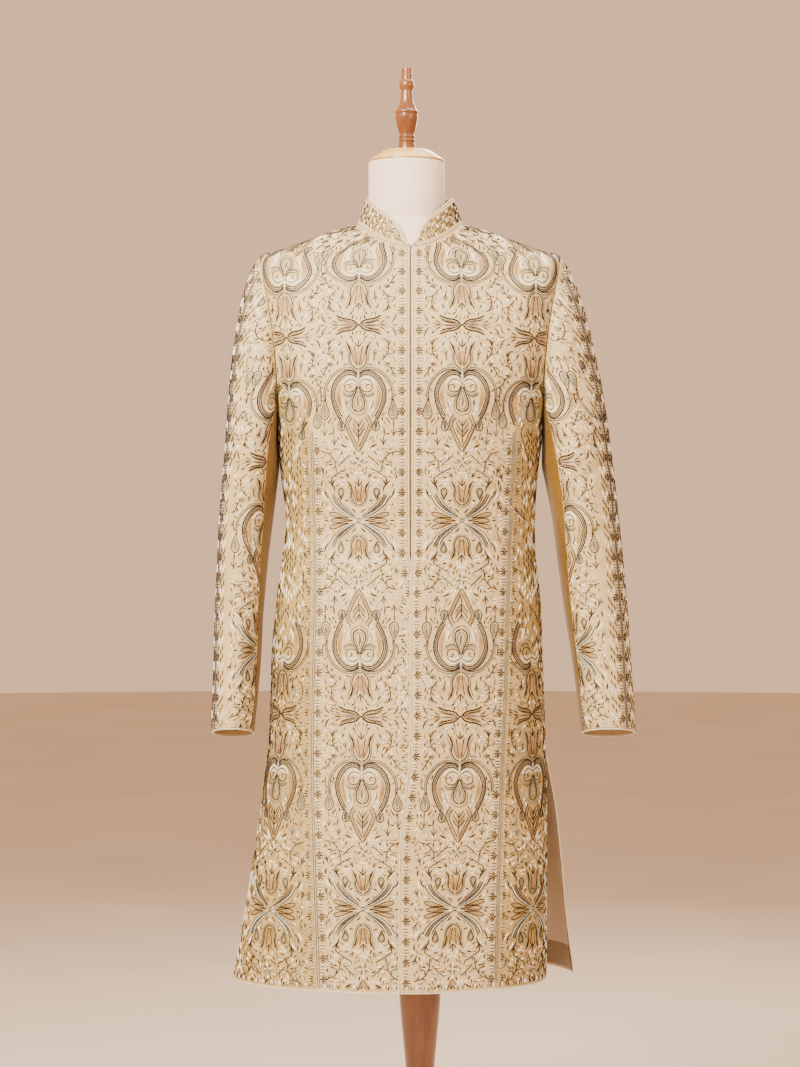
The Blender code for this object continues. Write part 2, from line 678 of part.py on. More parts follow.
def make_piping(collection):
    below_hem = 2 * PIPING_RADIUS + FIT_GAP
    for side, sign in (("right", -1), ("left", 1)):
        lift = lap_lift if side == "left" else None
        front = edge_cord(lambda r: edge_turn(r, side), front_rings(), "front", -sign, lift)
        piping("piping_edge_" + side, drop(front, below_hem), "piping", collection)
        slit_rows = [ring for ring in skirt_rings(ARMPIT_RING) if ring > SLIT_RING + 0.01]
        for half, way in (("front", sign), ("back", -sign)):
            line = edge_cord(lambda r: slit_turn(r, sign, half), slit_rows, half, way)
            piping("piping_slit_" + half + "_" + side, drop(line, below_hem), "piping",
                   collection)
        first = edge_turn(HEM_RING, side) + sign * 0.004
        seam = princess_turn(HEM_RING, side)
        last = slit_turn(HEM_RING, sign, "front") - sign * 0.004
        turns = even(first, seam, 9) + even(seam, last, 6)[1:]
        piping("piping_hem_front_" + side, hem_cord(turns, "front", lift), "piping", collection)
        first = sign * (math.pi - 0.001)
        last = slit_turn(HEM_RING, sign, "back") + sign * 0.004
        piping("piping_hem_back_" + side, hem_cord(even(first, last, 11), "back"), "piping",
               collection)
        walks = [walk for walk in WALK_FRONT[:-1] + WALK_UNDER[:-1]]
        walks = walks + [2 * math.pi - walk for walk in reversed(WALK_BACK[1:])]
        ring = []
        for walk in walks:
            signed = walk if walk <= math.pi else walk - 2 * math.pi
            outer, inner = sleeve_wall_points(side, signed, 1.0)
            ahead = sleeve_point(side, signed, 0.98)
            down = (outer - ahead) / np.linalg.norm(outer - ahead)
            ring.append((outer + inner) / 2 + down * (PIPING_RADIUS + FIT_GAP))
        piping("piping_cuff_" + side, ring, "piping", collection, cyclic=True)


def make_underlap(collection):
    """Gold strip behind the gap between the front edges."""
    rings = [0.12] + [ring for ring in front_rings() if 0.5 < ring < UNDERLAP_END_RING - 0.2]
    rings.append(UNDERLAP_END_RING)
    chart = []
    for ring in rings:
        right = turn_at_x(-UNDERLAP_HALF_WIDTH, ring, "front")
        left = turn_at_x(UNDERLAP_HALF_WIDTH, ring, "front")
        chart.append([(turn, ring) for turn in (right, right / 3, left / 3, left)])
    panel("underlap", chart, "front", "gold_silk", collection,
          depth=WALL + FIT_GAP * 1.6, thick=STRIP_WALL)


def make_slit_lining(collection):
    """Lining and hem facing of the left back, which the open slit shows."""
    facing_ring = HEM_RING - FACING_HEIGHT_RINGS
    rows = [ring for ring in skirt_rings(ARMPIT_RING) if SLIT_RING - 0.1 < ring < facing_ring]
    for name, rings, colour in (("lining_back_left", rows + [facing_ring], "lining"),
                                ("hem_facing_back_left",
                                 [facing_ring + 0.005, mix(facing_ring, HEM_RING, 0.5),
                                  HEM_RING - 0.03], "gold_silk")):
        chart = []
        for ring in rings:
            turns = back_turns(ring, "left")[-LINING_COLUMNS:]
            turns[-1] = turns[-1] + LINING_SET_BACK
            chart.append([(turn, ring) for turn in turns])
        panel(name, chart, "back", colour, collection, depth=WALL + FIT_GAP * 1.6,
              thick=STRIP_WALL)


def torso_inset(turn, ring):
    """How far the form lies inside the coat: close at the shoulders, freer below."""
    shoulder = math.sin(turn) ** 2 * smooth((5.5 - ring) / 1.5)
    free = mix(0.0055, 0.012, smooth((ring - 5) / 5))
    return WALL + mix(free, 0.0005, shoulder)


def make_torso(collection):
    """Closed form under the coat, rounded off below the hips."""
    rings = [0, 1, 2, 3, 4, 4.6, 5.3, 6, 7, 8, 9, 10, 11, 12, 13, 14, TORSO_END_RING]
    turns = [2 * math.pi * k / 28 - math.pi for k in range(28)]
    mesh = bmesh.new()
    rows = []
    top = []
    for turn in turns:
        top.append(mesh.verts.new((NECK_X + NECK_RADIUS * math.sin(turn),
                                   -NECK_RADIUS * math.cos(turn), TORSO_TOP)))
    rows.append(top)
    for ring in rings:
        row = []
        for turn in turns:
            half = "front" if math.cos(turn) > 1e-9 else "back"
            point = coat_point(turn, ring, half)
            normal = coat_frame(turn, ring, half)[2]
            row.append(mesh.verts.new(point - normal * torso_inset(turn, ring)))
        rows.append(row)
    for shrink, z in ((0.97, TORSO_BOTTOM + 0.008), (0.90, TORSO_BOTTOM)):
        last = rows[-1]
        row = []
        for vert in last:
            x = COAT_X + (vert.co.x - COAT_X) * shrink
            row.append(mesh.verts.new((x, vert.co.y * shrink, z)))
        rows.append(row)
    for upper, lower in zip(rows, rows[1:]):
        for j in range(len(turns)):
            k = (j + 1) % len(turns)
            mesh.faces.new((upper[j], upper[k], lower[k], lower[j]))
    mesh.faces.new(rows[0])
    mesh.faces.new(rows[-1])
    bmesh.ops.recalc_face_normals(mesh, faces=mesh.faces)
    data = bpy.data.meshes.new("torso")
    mesh.to_mesh(data)
    mesh.free()
    data.shade_smooth()
    data.set_sharp_from_angle(angle=math.radians(50))
    add_object("torso", data, "form_cloth", collection)


def turned(name, profile, sides, finish_name, collection, place_x=0.0):
    """A turned piece: a profile of radius and height with a Screw modifier."""
    points = [(0.0, profile[-1][1])] + list(reversed(profile)) + [(0.0, profile[0][1])]
    mesh = bmesh.new()
    verts = [mesh.verts.new((radius, 0, z)) for radius, z in points]
    for a, b in zip(verts, verts[1:]):
        mesh.edges.new((a, b))
    data = bpy.data.meshes.new(name)
    mesh.to_mesh(data)
    mesh.free()
    made = add_object(name, data, finish_name, collection)
    made.location.x = place_x
    screw = made.modifiers.new("Turned", "SCREW")
    screw.steps = sides
    screw.render_steps = sides
    screw.use_merge_vertices = True
    screw.merge_threshold = 0.0001
    return made


def make_stand(collection):
    turned("neck", ((NECK_RADIUS, NECK_BOTTOM), (NECK_RADIUS, NECK_TOP)), 32, "form_cloth",
           collection, NECK_X)
    turned("neck_cap", CAP_PROFILE, 32, "pale_wood", collection, NECK_X)
    turned("finial", FINIAL_PROFILE, 16, "brown_wood", collection, NECK_X)
    turned("post", POST_PROFILE, 24, "brown_wood", collection)
    turned("base", BASE_PROFILE, 40, "brown_wood", collection)


def main():
    clear_scene()
    collection = bpy.data.collections.new("sherwani_coat")
    bpy.context.scene.collection.children.link(collection)
    make_fronts(collection)
    make_side_fronts(collection)
    make_backs(collection)
    make_collar(collection)
    make_sleeves(collection)
    make_piping(collection)
    make_underlap(collection)
    make_slit_lining(collection)
    make_torso(collection)
    make_stand(collection)


main()
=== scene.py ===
"""Looks of a sherwani coat on a limbless dress form.

Metres, +Z up, the coat's front faces -Y and the wearer's left is +X.  The coat's outer face
is one surface through rings.  A point of it has a turn (0 at the centre front or back, a
quarter turn at the side) and a ring number.  Shells and embroidery lie on that surface.
"""
import math

import bpy
import numpy as np
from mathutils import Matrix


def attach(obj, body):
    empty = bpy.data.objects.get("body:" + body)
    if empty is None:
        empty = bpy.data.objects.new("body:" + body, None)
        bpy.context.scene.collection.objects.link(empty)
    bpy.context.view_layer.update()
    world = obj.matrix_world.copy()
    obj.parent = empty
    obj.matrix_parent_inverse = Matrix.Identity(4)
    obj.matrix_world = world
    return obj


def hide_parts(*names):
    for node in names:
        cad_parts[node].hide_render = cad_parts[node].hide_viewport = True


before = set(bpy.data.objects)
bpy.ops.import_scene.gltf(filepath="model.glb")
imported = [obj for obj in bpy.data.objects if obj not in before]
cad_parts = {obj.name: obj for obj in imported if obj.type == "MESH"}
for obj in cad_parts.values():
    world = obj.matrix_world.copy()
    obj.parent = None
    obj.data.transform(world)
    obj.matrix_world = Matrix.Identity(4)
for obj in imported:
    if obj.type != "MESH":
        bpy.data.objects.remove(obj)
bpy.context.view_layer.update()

BODY = "root"
QUARTER = math.pi / 2
WALL = 0.0016
SEAM_GAP = 0.0004
FIT_GAP = 0.00035
STRIP_WALL = 0.0012
PIPING_RADIUS = 0.0011
COAT_X = -0.014
NECK_X = -0.0185

# The coat's rings, as in the part: right and left are the wearer's
RING_COLUMNS = ("side_z", "front_right", "front_left", "back_right", "back_left",
                "front_y", "front_z", "back_y", "back_z", "power")
RINGS = (
    (1.508, 0.073, 0.073, 0.073, 0.073, -0.075, 1.470, 0.066, 1.515, 2.00),
    (1.498, 0.109, 0.109, 0.109, 0.109, -0.089, 1.436, 0.087, 1.490, 2.00),
    (1.484, 0.148, 0.148, 0.148, 0.148, -0.098, 1.404, 0.101, 1.460, 2.05),
    (1.470, 0.188, 0.188, 0.188, 0.188, -0.105, 1.374, 0.110, 1.430, 2.10),
    (1.462, 0.210, 0.210, 0.210, 0.210, -0.1095, 1.348, 0.115, 1.402, 2.18),
    (1.425, 0.213, 0.213, 0.213, 0.213, -0.1130, 1.322, 0.118, 1.370, 2.34),
    (1.375, 0.208, 0.208, 0.208, 0.208, -0.1155, 1.293, 0.120, 1.333, 2.46),
    (1.310, 0.199, 0.199, 0.199, 0.199, -0.1160, 1.258, 0.119, 1.283, 2.48),
    (1.240, 0.188, 0.189, 0.188, 0.189, -0.1140, 1.220, 0.116, 1.230, 2.44),
    (1.165, 0.1806, 0.1785, 0.1806, 0.1785, -0.110, 1.160, 0.109, 1.163, 2.40),
    (1.095, 0.1727, 0.1740, 0.1727, 0.1740, -0.1055, 1.095, 0.103, 1.095, 2.35),
    (1.040, 0.1790, 0.1757, 0.1790, 0.1757, -0.107, 1.040, 0.106, 1.040, 2.30),
    (0.980, 0.1862, 0.1820, 0.1862, 0.1820, -0.112, 0.980, 0.114, 0.980, 2.30),
    (0.910, 0.1925, 0.1845, 0.1925, 0.1845, -0.118, 0.910, 0.122, 0.910, 2.25),
    (0.840, 0.1946, 0.1870, 0.1946, 0.1870, -0.122, 0.840, 0.127, 0.840, 2.20),
    (0.778, 0.1975, 0.1890, 0.1975, 0.1890, -0.126, 0.778, 0.130, 0.778, 2.20),
    (0.700, 0.2055, 0.1905, 0.2035, 0.2040, -0.131, 0.700, 0.136, 0.700, 2.15),
    (0.620, 0.2172, 0.1908, 0.2120, 0.2135, -0.137, 0.620, 0.143, 0.620, 2.15),
    (0.540, 0.2310, 0.1910, 0.2215, 0.2215, -0.143, 0.540, 0.150, 0.540, 2.10),
    (0.460, 0.2480, 0.1915, 0.2330, 0.2330, -0.150, 0.460, 0.157, 0.460, 2.10),
)
TIP_RING = 4
SLIT_RING = 15
HEM_RING = len(RINGS) - 1
RING_STEPS = np.arange(len(RINGS), dtype=float)
EDGE_OF_TABLE = 0.002
RING_TABLE = {name: np.array(column) for name, column in zip(RING_COLUMNS, zip(*RINGS))}

ARMPIT_RING = 8.35
ARMHOLE_TURN = math.radians(26)
PRINCESS_WALK = math.radians(116.6)
ARMHOLE_MIDDLE = (TIP_RING + ARMPIT_RING) / 2
ARMHOLE_HALF = (ARMPIT_RING - TIP_RING) / 2
PRINCESS_TOP_RING = ARMHOLE_MIDDLE - ARMHOLE_HALF * math.cos(PRINCESS_WALK)

# Princess seam: height, and distance from the coat's middle on each side
PRINCESS_Z = (1.235, 1.151, 1.019, 0.863, 0.763, 0.630, 0.460)
PRINCESS_X = {"right": (0.139, 0.1368, 0.1338, 0.1361, 0.1375, 0.1347, 0.1279),
              "left": (0.146, 0.143, 0.1374, 0.1330, 0.1286, 0.1235, 0.1190)}

# Front edges: height, and distance to the wearer's left of the coat's middle
EDGE_Z = (1.470, 1.060, 1.030, 0.980, 0.860, 0.760, 0.660, 0.460)
EDGE_X = {"right": (-0.0034, -0.0034, -0.0010, 0.0090, 0.0120, 0.0120, 0.0120, 0.0120),
          "left": (0.0040, 0.0040, 0.0030, 0.0010, 0.0020, -0.0010, -0.0120, -0.0140)}
LAP_LIFT = 0.0032
LAP_TOP_Z = 1.090
LAP_FULL_Z = 1.055
LAP_FLAT_X = 0.020
LAP_END_X = 0.050

SLIT_START = 0.0031
SLIT_START_RINGS = 0.12
SLIT_AT_HEM = {"front": 0.026, "back": 0.022}

SLEEVE_COLUMNS = ("z", "outer_x", "inner_x", "centre_y", "half_depth", "pitch")
SLEEVES = {
    "right": (
        (1.165, 0.2605, 0.1832, -0.002, 0.076, 0.0),
        (1.106, 0.2655, 0.1900, -0.006, 0.072, 2.0),
        (1.043, 0.2680, 0.1975, -0.012, 0.067, 4.0),
        (0.968, 0.2708, 0.2040, -0.021, 0.062, 7.0),
        (0.895, 0.2720, 0.2075, -0.031, 0.058, 9.0),
        (0.802, 0.2740, 0.2155, -0.045, 0.053, 10.0),
    ),
    "left": (
        (1.165, 0.2840, 0.1855, -0.002, 0.076, 0.0),
        (1.106, 0.2900, 0.1975, -0.006, 0.072, 2.0),
        (1.043, 0.2960, 0.2055, -0.012, 0.067, 4.0),
        (0.968, 0.3020, 0.2150, -0.021, 0.062, 7.0),
        (0.895, 0.3060, 0.2260, -0.031, 0.058, 9.0),
        (0.802, 0.3110, 0.2370, -0.045, 0.053, 10.0),
    ),
}
SLEEVE_TABLE = {side: {name: np.array(column) for name, column in zip(SLEEVE_COLUMNS, zip(*rows))}
                for side, rows in SLEEVES.items()}
SLEEVE_STEPS = np.linspace(0, 1, 6)
SLEEVE_LENGTH = 0.363
SLEEVE_SEAM_WALK = PRINCESS_WALK + (math.pi - PRINCESS_WALK) / 5
SLEEVE_BACK_WALK = math.pi * 8 / 11
SLEEVE_SEAM_AT_CUFF = math.radians(160)

COLLAR_FRONT_GAP = 0.0030
COLLAR_RISE_RUN = (0.0, 0.004, 0.008, 0.012, 0.018, 0.025, 0.034)
COLLAR_RISE = (0.0030, 0.0065, 0.0135, 0.0215, 0.0290, 0.0345, 0.0380)
COLLAR_CORNER = COLLAR_RISE_RUN[-1]
COLLAR_LEAN = {"front": 0.30, "side": 0.34, "back": 0.22}

SIGN = {"right": -1, "left": 1}


# Small helpers

def smooth(value):
    """Ease from 0 to 1, flat at both ends."""
    value = np.clip(value, 0, 1)
    return value * value * (3 - 2 * value)


def mix(start, end, share):
    return start + (end - start) * share


def curve(xs, ys, x):
    """Smooth curve through a short table, read at every x."""
    xs = np.asarray(xs, dtype=float)
    ys = np.asarray(ys, dtype=float)
    if xs[0] > xs[-1]:
        xs = xs[::-1]
        ys = ys[::-1]
    x = np.asarray(x, dtype=float)
    k = np.clip(np.searchsorted(xs, x) - 1, 0, len(xs) - 2)
    low = np.maximum(np.arange(len(xs)) - 1, 0)
    high = np.minimum(np.arange(len(xs)) + 1, len(xs) - 1)
    slopes = (ys[high] - ys[low]) / (xs[high] - xs[low])
    width = xs[k + 1] - xs[k]
    share = np.clip((x - xs[k]) / width, 0, 1)
    rest = 1 - share
    return (ys[k] * rest * rest * (1 + 2 * share) + ys[k + 1] * share * share * (3 - 2 * share)
            + width * share * rest * (slopes[k] * rest - slopes[k + 1] * share))


def ring_value(name, ring):
    return curve(RING_STEPS, RING_TABLE[name], ring)


def signed_power(value, exponent):
    return np.sign(value) * np.abs(value) ** exponent


# The coat's surface.  half is front or back, side is right or left, and turn runs from the
# coat's middle line (0) to the side (a quarter turn), on either half.

# Creases of each panel.  Columns: x and z of its start, x and z of its end, depth, width
CREASES = {
    ("front", "right"): (
        (0.020, 1.100, 0.150, 1.140, 0.0011, 0.016),
        (0.040, 1.050, 0.165, 1.075, 0.0013, 0.014),
        (0.060, 1.400, 0.150, 1.330, 0.0012, 0.020),
        (0.170, 1.290, 0.090, 1.200, 0.0014, 0.018),
        (0.100, 0.820, 0.130, 0.480, 0.0024, 0.026),
        (0.185, 0.760, 0.225, 0.470, -0.0026, 0.028),
        (0.050, 0.700, 0.052, 0.470, -0.0016, 0.024),
    ),
    ("front", "left"): (
        (0.030, 1.090, 0.150, 1.120, 0.0012, 0.015),
        (0.055, 1.035, 0.160, 1.060, 0.0011, 0.015),
        (0.070, 1.390, 0.155, 1.320, 0.0012, 0.020),
        (0.165, 1.280, 0.095, 1.190, 0.0013, 0.018),
        (0.090, 0.800, 0.086, 0.480, 0.0020, 0.024),
        (0.150, 0.740, 0.160, 0.470, -0.0022, 0.026),
    ),
    ("back", "right"): (
        (0.020, 1.090, 0.160, 1.120, 0.0016, 0.017),
        (0.030, 1.030, 0.160, 1.050, 0.0014, 0.015),
        (0.160, 1.330, 0.060, 1.230, 0.0016, 0.022),
        (0.070, 0.850, 0.080, 0.480, 0.0036, 0.028),
        (0.150, 0.800, 0.175, 0.480, -0.0034, 0.030),
    ),
    ("back", "left"): (
        (0.020, 1.080, 0.155, 1.105, 0.0016, 0.016),
        (0.040, 1.025, 0.160, 1.040, 0.0013, 0.015),
        (0.165, 1.320, 0.070, 1.240, 0.0015, 0.022),
        (0.060, 0.840, 0.074, 0.480, 0.0034, 0.028),
        (0.140, 0.800, 0.165, 0.480, -0.0034, 0.030),
    ),
}


def crease_depth(x, z, half, side):
    """How far soft troughs (and, where negative, ridges) move the cloth inward."""
    total = np.zeros_like(x)
    for x0, z0, x1, z1, depth, width in CREASES[(half, side)]:
        run = np.array((x1 - x0, z1 - z0))
        length = np.hypot(*run)
        run = run / length
        along = ((x - x0) * run[0] + (z - z0) * run[1]) / length
        across = (x - x0) * -run[1] + (z - z0) * run[0]
        across = across + 0.004 * np.sin(along * 5.0 + x0 * 40)
        ends = smooth((along + 0.12) / 0.32) * smooth((1.25 - along) / 0.45)
        total = total + depth * np.exp(-(across / width) ** 2) * ends
    return total


def base_points(turn, ring, half, side):
    exponent = 2 / ring_value("power", ring)
    forward = np.cos(turn)
    side_z = ring_value("side_z", ring)
    x = ring_value(half + "_" + side, ring) * signed_power(np.sin(turn), exponent)
    y = ring_value(half + "_y", ring) * signed_power(forward, exponent)
    z = side_z + (ring_value(half + "_z", ring) - side_z) * forward * forward
    return np.stack((COAT_X + SIGN[side] * x, y, z), axis=-1)


def normals_of(point_at, first, second, step=1e-3):
    """Unit normals of a surface from small differences."""
    along_first = (point_at(first + step, second) - point_at(first - step, second)) / (2 * step)
    along_second = (point_at(first, second + step) - point_at(first, second - step)) / (2 * step)
    normal = np.cross(along_second, along_first)
    size = np.linalg.norm(normal, axis=-1, keepdims=True)
    return normal / np.maximum(size, 1e-12)


def outer_normals(turn, ring, half, side, point):
    """Unit normals of the coat's plain surface that face away from its middle."""
    normal = normals_of(lambda a, b: base_points(a, b, half, side), turn, ring)
    outward = np.sum(normal * (point - np.array((COAT_X, 0, 0))) * (1, 1, 0), axis=-1)
    return normal * np.where(outward < 0, -1.0, 1.0)[..., None]


def coat_points(turn, ring, half, side, lifted=False):
    """Points of the coat's outer face and its outward normals."""
    turn, ring = np.broadcast_arrays(np.asarray(turn, float), np.asarray(ring, float))
    point = base_points(turn, ring, half, side)
    normal = outer_normals(np.maximum(turn, EDGE_OF_TABLE),
                           np.clip(ring, EDGE_OF_TABLE, HEM_RING - EDGE_OF_TABLE), half, side,
                           point)
    x = np.abs(point[..., 0] - COAT_X)
    move = -crease_depth(x, point[..., 2], half, side)
    if lifted:
        signed_x = point[..., 0] - COAT_X
        height = smooth((LAP_TOP_Z - point[..., 2]) / (LAP_TOP_Z - LAP_FULL_Z))
        width = smooth((LAP_END_X - signed_x) / (LAP_END_X - LAP_FLAT_X))
        move = move + LAP_LIFT * height * width
    return point + normal * move[..., None], normal


def turn_at_x(x, ring, half, side):
    share = np.abs(x) / ring_value(half + "_" + side, ring)
    angle = np.arcsin(np.minimum(share, 1.0) ** (ring_value("power", ring) / 2))
    return angle * np.sign(x)


def ring_at_height(z):
    return np.interp(-z, -RING_TABLE["side_z"], RING_STEPS)


def armhole(walk):
    """Turn and ring of the armhole's edge, from the tip (walk 0) to the armpit (walk pi)."""
    ring = ARMHOLE_MIDDLE - ARMHOLE_HALF * np.cos(walk)
    offset = ARMHOLE_TURN * np.sin(walk)
    return QUARTER - offset, ring


def armhole_turn_at(ring):
    walk = np.arccos(np.clip((ARMHOLE_MIDDLE - ring) / ARMHOLE_HALF, -1, 1))
    return QUARTER - ARMHOLE_TURN * np.sin(walk)


def princess_turn(ring, side):
    first_ring = ring_at_height(PRINCESS_Z[0])
    x = curve(PRINCESS_Z, PRINCESS_X[side], ring_value("side_z", ring))
    below = turn_at_x(x, ring, "front", side)
    start_turn, start_ring = armhole(PRINCESS_WALK)
    end_turn = turn_at_x(np.array(PRINCESS_X[side][0]), np.array(first_ring), "front", side)
    share = np.clip((ring - start_ring) / (first_ring - start_ring), 0, 1)
    above = mix(start_turn, end_turn, np.sin(share * QUARTER))
    return np.where(ring >= first_ring, below, above)


def edge_turn(ring, side):
    """Turn of the front edge on its own side: negative where it crosses the middle."""
    z = ring_value("front_z", ring)
    x = SIGN[side] * curve(EDGE_Z, EDGE_X[side], z)
    return turn_at_x(x, ring, "front", side)


def slit_turn(ring, half):
    below = np.maximum(ring - SLIT_RING, 0)
    open_y = SLIT_START * np.minimum(below / SLIT_START_RINGS, 1)
    open_y = open_y + (SLIT_AT_HEM[half] - SLIT_START) * below / (HEM_RING - SLIT_RING)
    share = open_y / np.abs(ring_value(half + "_y", ring))
    return QUARTER - np.arcsin(share ** (ring_value("power", ring) / 2))


def front_outline(ring, side):
    """Outer edge of a front: shoulder seam, armhole, then princess seam."""
    return np.where(ring <= TIP_RING, QUARTER,
                    np.where(ring < PRINCESS_TOP_RING, armhole_turn_at(ring),
                             princess_turn(ring, side)))


def back_outline(ring):
    """Outer edge of a back: shoulder seam, armhole, side seam, then slit."""
    return np.where((ring > TIP_RING) & (ring < ARMPIT_RING), armhole_turn_at(ring),
                    slit_turn(ring, "back"))


# Mesh building

def link(name, data, materials):
    made = bpy.data.objects.new(name, data)
    bpy.context.scene.collection.objects.link(made)
    for material in materials:
        data.materials.append(material)
    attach(made, BODY)
    return made


def mesh_of(name, points, faces, indices=None, angle=40):
    """A smooth-shaded mesh from points and faces, with a material index for each face."""
    data = bpy.data.meshes.new(name)
    data.from_pydata(np.asarray(points).tolist(), [], np.asarray(faces).tolist())
    if indices is not None:
        data.polygons.foreach_set("material_index", np.asarray(indices, dtype=np.int32))
    data.shade_smooth()
    if angle:
        data.set_sharp_from_angle(angle=math.radians(angle))
    data.update()
    return data


def grid_faces(rows, columns, closed=False, start=0):
    steps = columns if closed else columns - 1
    i, j = np.meshgrid(np.arange(rows - 1), np.arange(steps), indexing="ij")
    k = (j + 1) % columns
    quads = np.stack((i * columns + j, i * columns + k, (i + 1) * columns + k,
                      (i + 1) * columns + j), axis=-1)
    return quads.reshape(-1, 4) + start


CUT_SIZES = {}


def measure_cut(node, outer):
    """Keeps a piece's width, measured level, its longest column and its area: its flat cut."""
    across = np.linalg.norm(np.diff(outer, axis=1)[..., :2], axis=-1)
    down = np.linalg.norm(np.diff(outer, axis=0), axis=-1)
    edge_a = outer[1:, :-1] - outer[:-1, :-1]
    edge_b = outer[:-1, 1:] - outer[:-1, :-1]
    edge_c = outer[1:, :-1] - outer[1:, 1:]
    edge_d = outer[:-1, 1:] - outer[1:, 1:]
    area = (np.linalg.norm(np.cross(edge_a, edge_b), axis=-1).sum()
            + np.linalg.norm(np.cross(edge_c, edge_d), axis=-1).sum()) / 2
    length = float(down.sum(axis=0).max())
    width = max(float(across.sum(axis=1).max()), float(area) / length)
    CUT_SIZES[node] = (width, length, float(area))


def wall_mesh(name, outer, inner, closed=False):
    """A closed cloth wall between two grids: outer faces first, then inner and rim."""
    measure_cut(name.removeprefix("cloth_"), outer)
    rows, columns = outer.shape[:2]
    count = rows * columns
    points = np.concatenate((outer.reshape(-1, 3), inner.reshape(-1, 3)))
    front = grid_faces(rows, columns, closed)
    back = grid_faces(rows, columns, closed, count)[:, ::-1]
    rim = []
    steps = columns if closed else columns - 1
    for row in (0, rows - 1):
        for j in range(steps):
            a = row * columns + j
            b = row * columns + (j + 1) % columns
            quad = (a, a + count, b + count, b)
            rim.append(quad if row == 0 else quad[::-1])
    if not closed:
        for column in (0, columns - 1):
            for i in range(rows - 1):
                a = i * columns + column
                b = a + columns
                quad = (a, b, b + count, a + count)
                rim.append(quad if column == 0 else quad[::-1])
    faces = np.concatenate((front, back, np.array(rim)))
    indices = np.concatenate((np.zeros(len(front)), np.ones(len(back)), np.zeros(len(rim))))
    centre_face = front[len(front) // 2]
    corner = points[centre_face]
    facing = np.cross(corner[1] - corner[0], corner[3] - corner[0])
    if np.dot(facing, corner[0] - points[centre_face[0] + count]) < 0:
        faces = faces[:, ::-1]
    return mesh_of(name, points, faces, indices)


# Cloth shells

EDGE_ROLL = 0.0005
EDGE_ROLL_WIDTH = 0.0016
SEAM_TRIM = 0.00012


def panel_columns(count, width):
    """Shares across a panel, with a close pair at each edge for its turned-in fold."""
    near = EDGE_ROLL_WIDTH / width
    inside = np.linspace(near, 1 - near, count)
    return np.concatenate(((0,), inside, (1,)))


def roll_of(columns):
    roll = np.zeros(columns)
    roll[0] = EDGE_ROLL
    roll[-1] = EDGE_ROLL
    return roll


def coat_wall(name, turn, ring, half, side, roll, lifted=False, depth=0.0, thick=WALL):
    outer, normal = coat_points(turn, ring, half, side, lifted)
    outer = outer - normal * (roll[None, :, None] + depth)
    inner = outer - normal * (thick - roll[None, :, None])
    return wall_mesh(name, outer, inner)


def rings_down(first, count):
    return np.linspace(first, HEM_RING, count)


def front_rows():
    walks = np.linspace(0, PRINCESS_WALK, 26)
    return np.concatenate((np.linspace(0, TIP_RING, 22)[:-1], armhole(walks)[1][:-1],
                           rings_down(PRINCESS_TOP_RING, 96)))


def back_rows():
    walks = np.linspace(0, math.pi, 36)
    upper = np.concatenate((np.linspace(0, TIP_RING, 22)[:-1], armhole(walks)[1][:-1]))
    slit_rows = np.array((SLIT_RING, SLIT_RING + SLIT_START_RINGS))
    lower = np.unique(np.concatenate((rings_down(ARMPIT_RING, 88), slit_rows)))
    return np.concatenate((upper, lower))


def trim_turn(turn, half, side, ring, amount):
    """Moves a boundary in by a distance along the ring."""
    ahead = base_points(turn - 0.01, ring, half, side)
    here = base_points(turn, ring, half, side)
    speed = np.linalg.norm(ahead - here, axis=-1) / 0.01
    return turn - amount / np.maximum(speed, 0.02)


def make_panels(materials, side_materials):
    made = {}
    for side in ("right", "left"):
        rows = front_rows()
        inner_edge = edge_turn(rows, side)
        outer_edge = trim_turn(front_outline(rows, side), "front", side, rows, SEAM_TRIM)
        share = panel_columns(34, 0.19)
        turn = inner_edge[:, None] + (outer_edge - inner_edge)[:, None] * share
        data = coat_wall("cloth_front_" + side, turn, rows[:, None], "front", side,
                         roll_of(len(share)), lifted=side == "left")
        made["front_" + side] = link("cloth_front_" + side, data, materials)

        share = panel_columns(16, 0.10)
        walk = mix(PRINCESS_WALK, math.pi, share)
        top_turn, top_ring = armhole(walk)
        step = np.unique(np.concatenate((np.linspace(0, 1, 88) ** 1.15, (
            (SLIT_RING - ARMPIT_RING) / (HEM_RING - ARMPIT_RING),
            (SLIT_RING + SLIT_START_RINGS - ARMPIT_RING) / (HEM_RING - ARMPIT_RING)))))
        ring = mix(top_ring[None, :], HEM_RING, step[:, None])
        seam = princess_turn(ring, side) + 0.0006
        edge = trim_turn(slit_turn(ring, "front"), "front", side, ring, SEAM_TRIM)
        top_seam = princess_turn(top_ring, side)
        top_share = (top_turn - top_seam) / (QUARTER - top_seam)
        across = mix(top_share[None, :], share[None, :], smooth(step / 0.15)[:, None])
        data = coat_wall("cloth_side_front_" + side, mix(seam, edge, across), ring, "front",
                         side, roll_of(len(share)))
        made["side_front_" + side] = link("cloth_side_front_" + side, data, side_materials)

        rows = back_rows()
        outer_edge = trim_turn(back_outline(rows), "back", side, rows, SEAM_TRIM)
        share = panel_columns(40, 0.24)
        middle = np.full_like(outer_edge, 0.0012)
        turn = middle[:, None] + (outer_edge - middle)[:, None] * share
        data = coat_wall("cloth_back_" + side, turn, rows[:, None], "back", side,
                         roll_of(len(share)))
        made["back_" + side] = link("cloth_back_" + side, data, materials)
    return made


def make_underlap(material):
    rows = np.linspace(0.12, 10.85, 90)
    turns = [turn_at_x(np.full_like(rows, x), rows, "front", "left")
             for x in np.linspace(-0.017, 0.017, 12)]
    turn = np.stack(turns, axis=1)
    data = coat_wall("cloth_underlap", turn, rows[:, None], "front", "left",
                     np.zeros(turn.shape[1]), depth=WALL + FIT_GAP * 1.6, thick=STRIP_WALL)
    return link("cloth_underlap", data, [material, material])


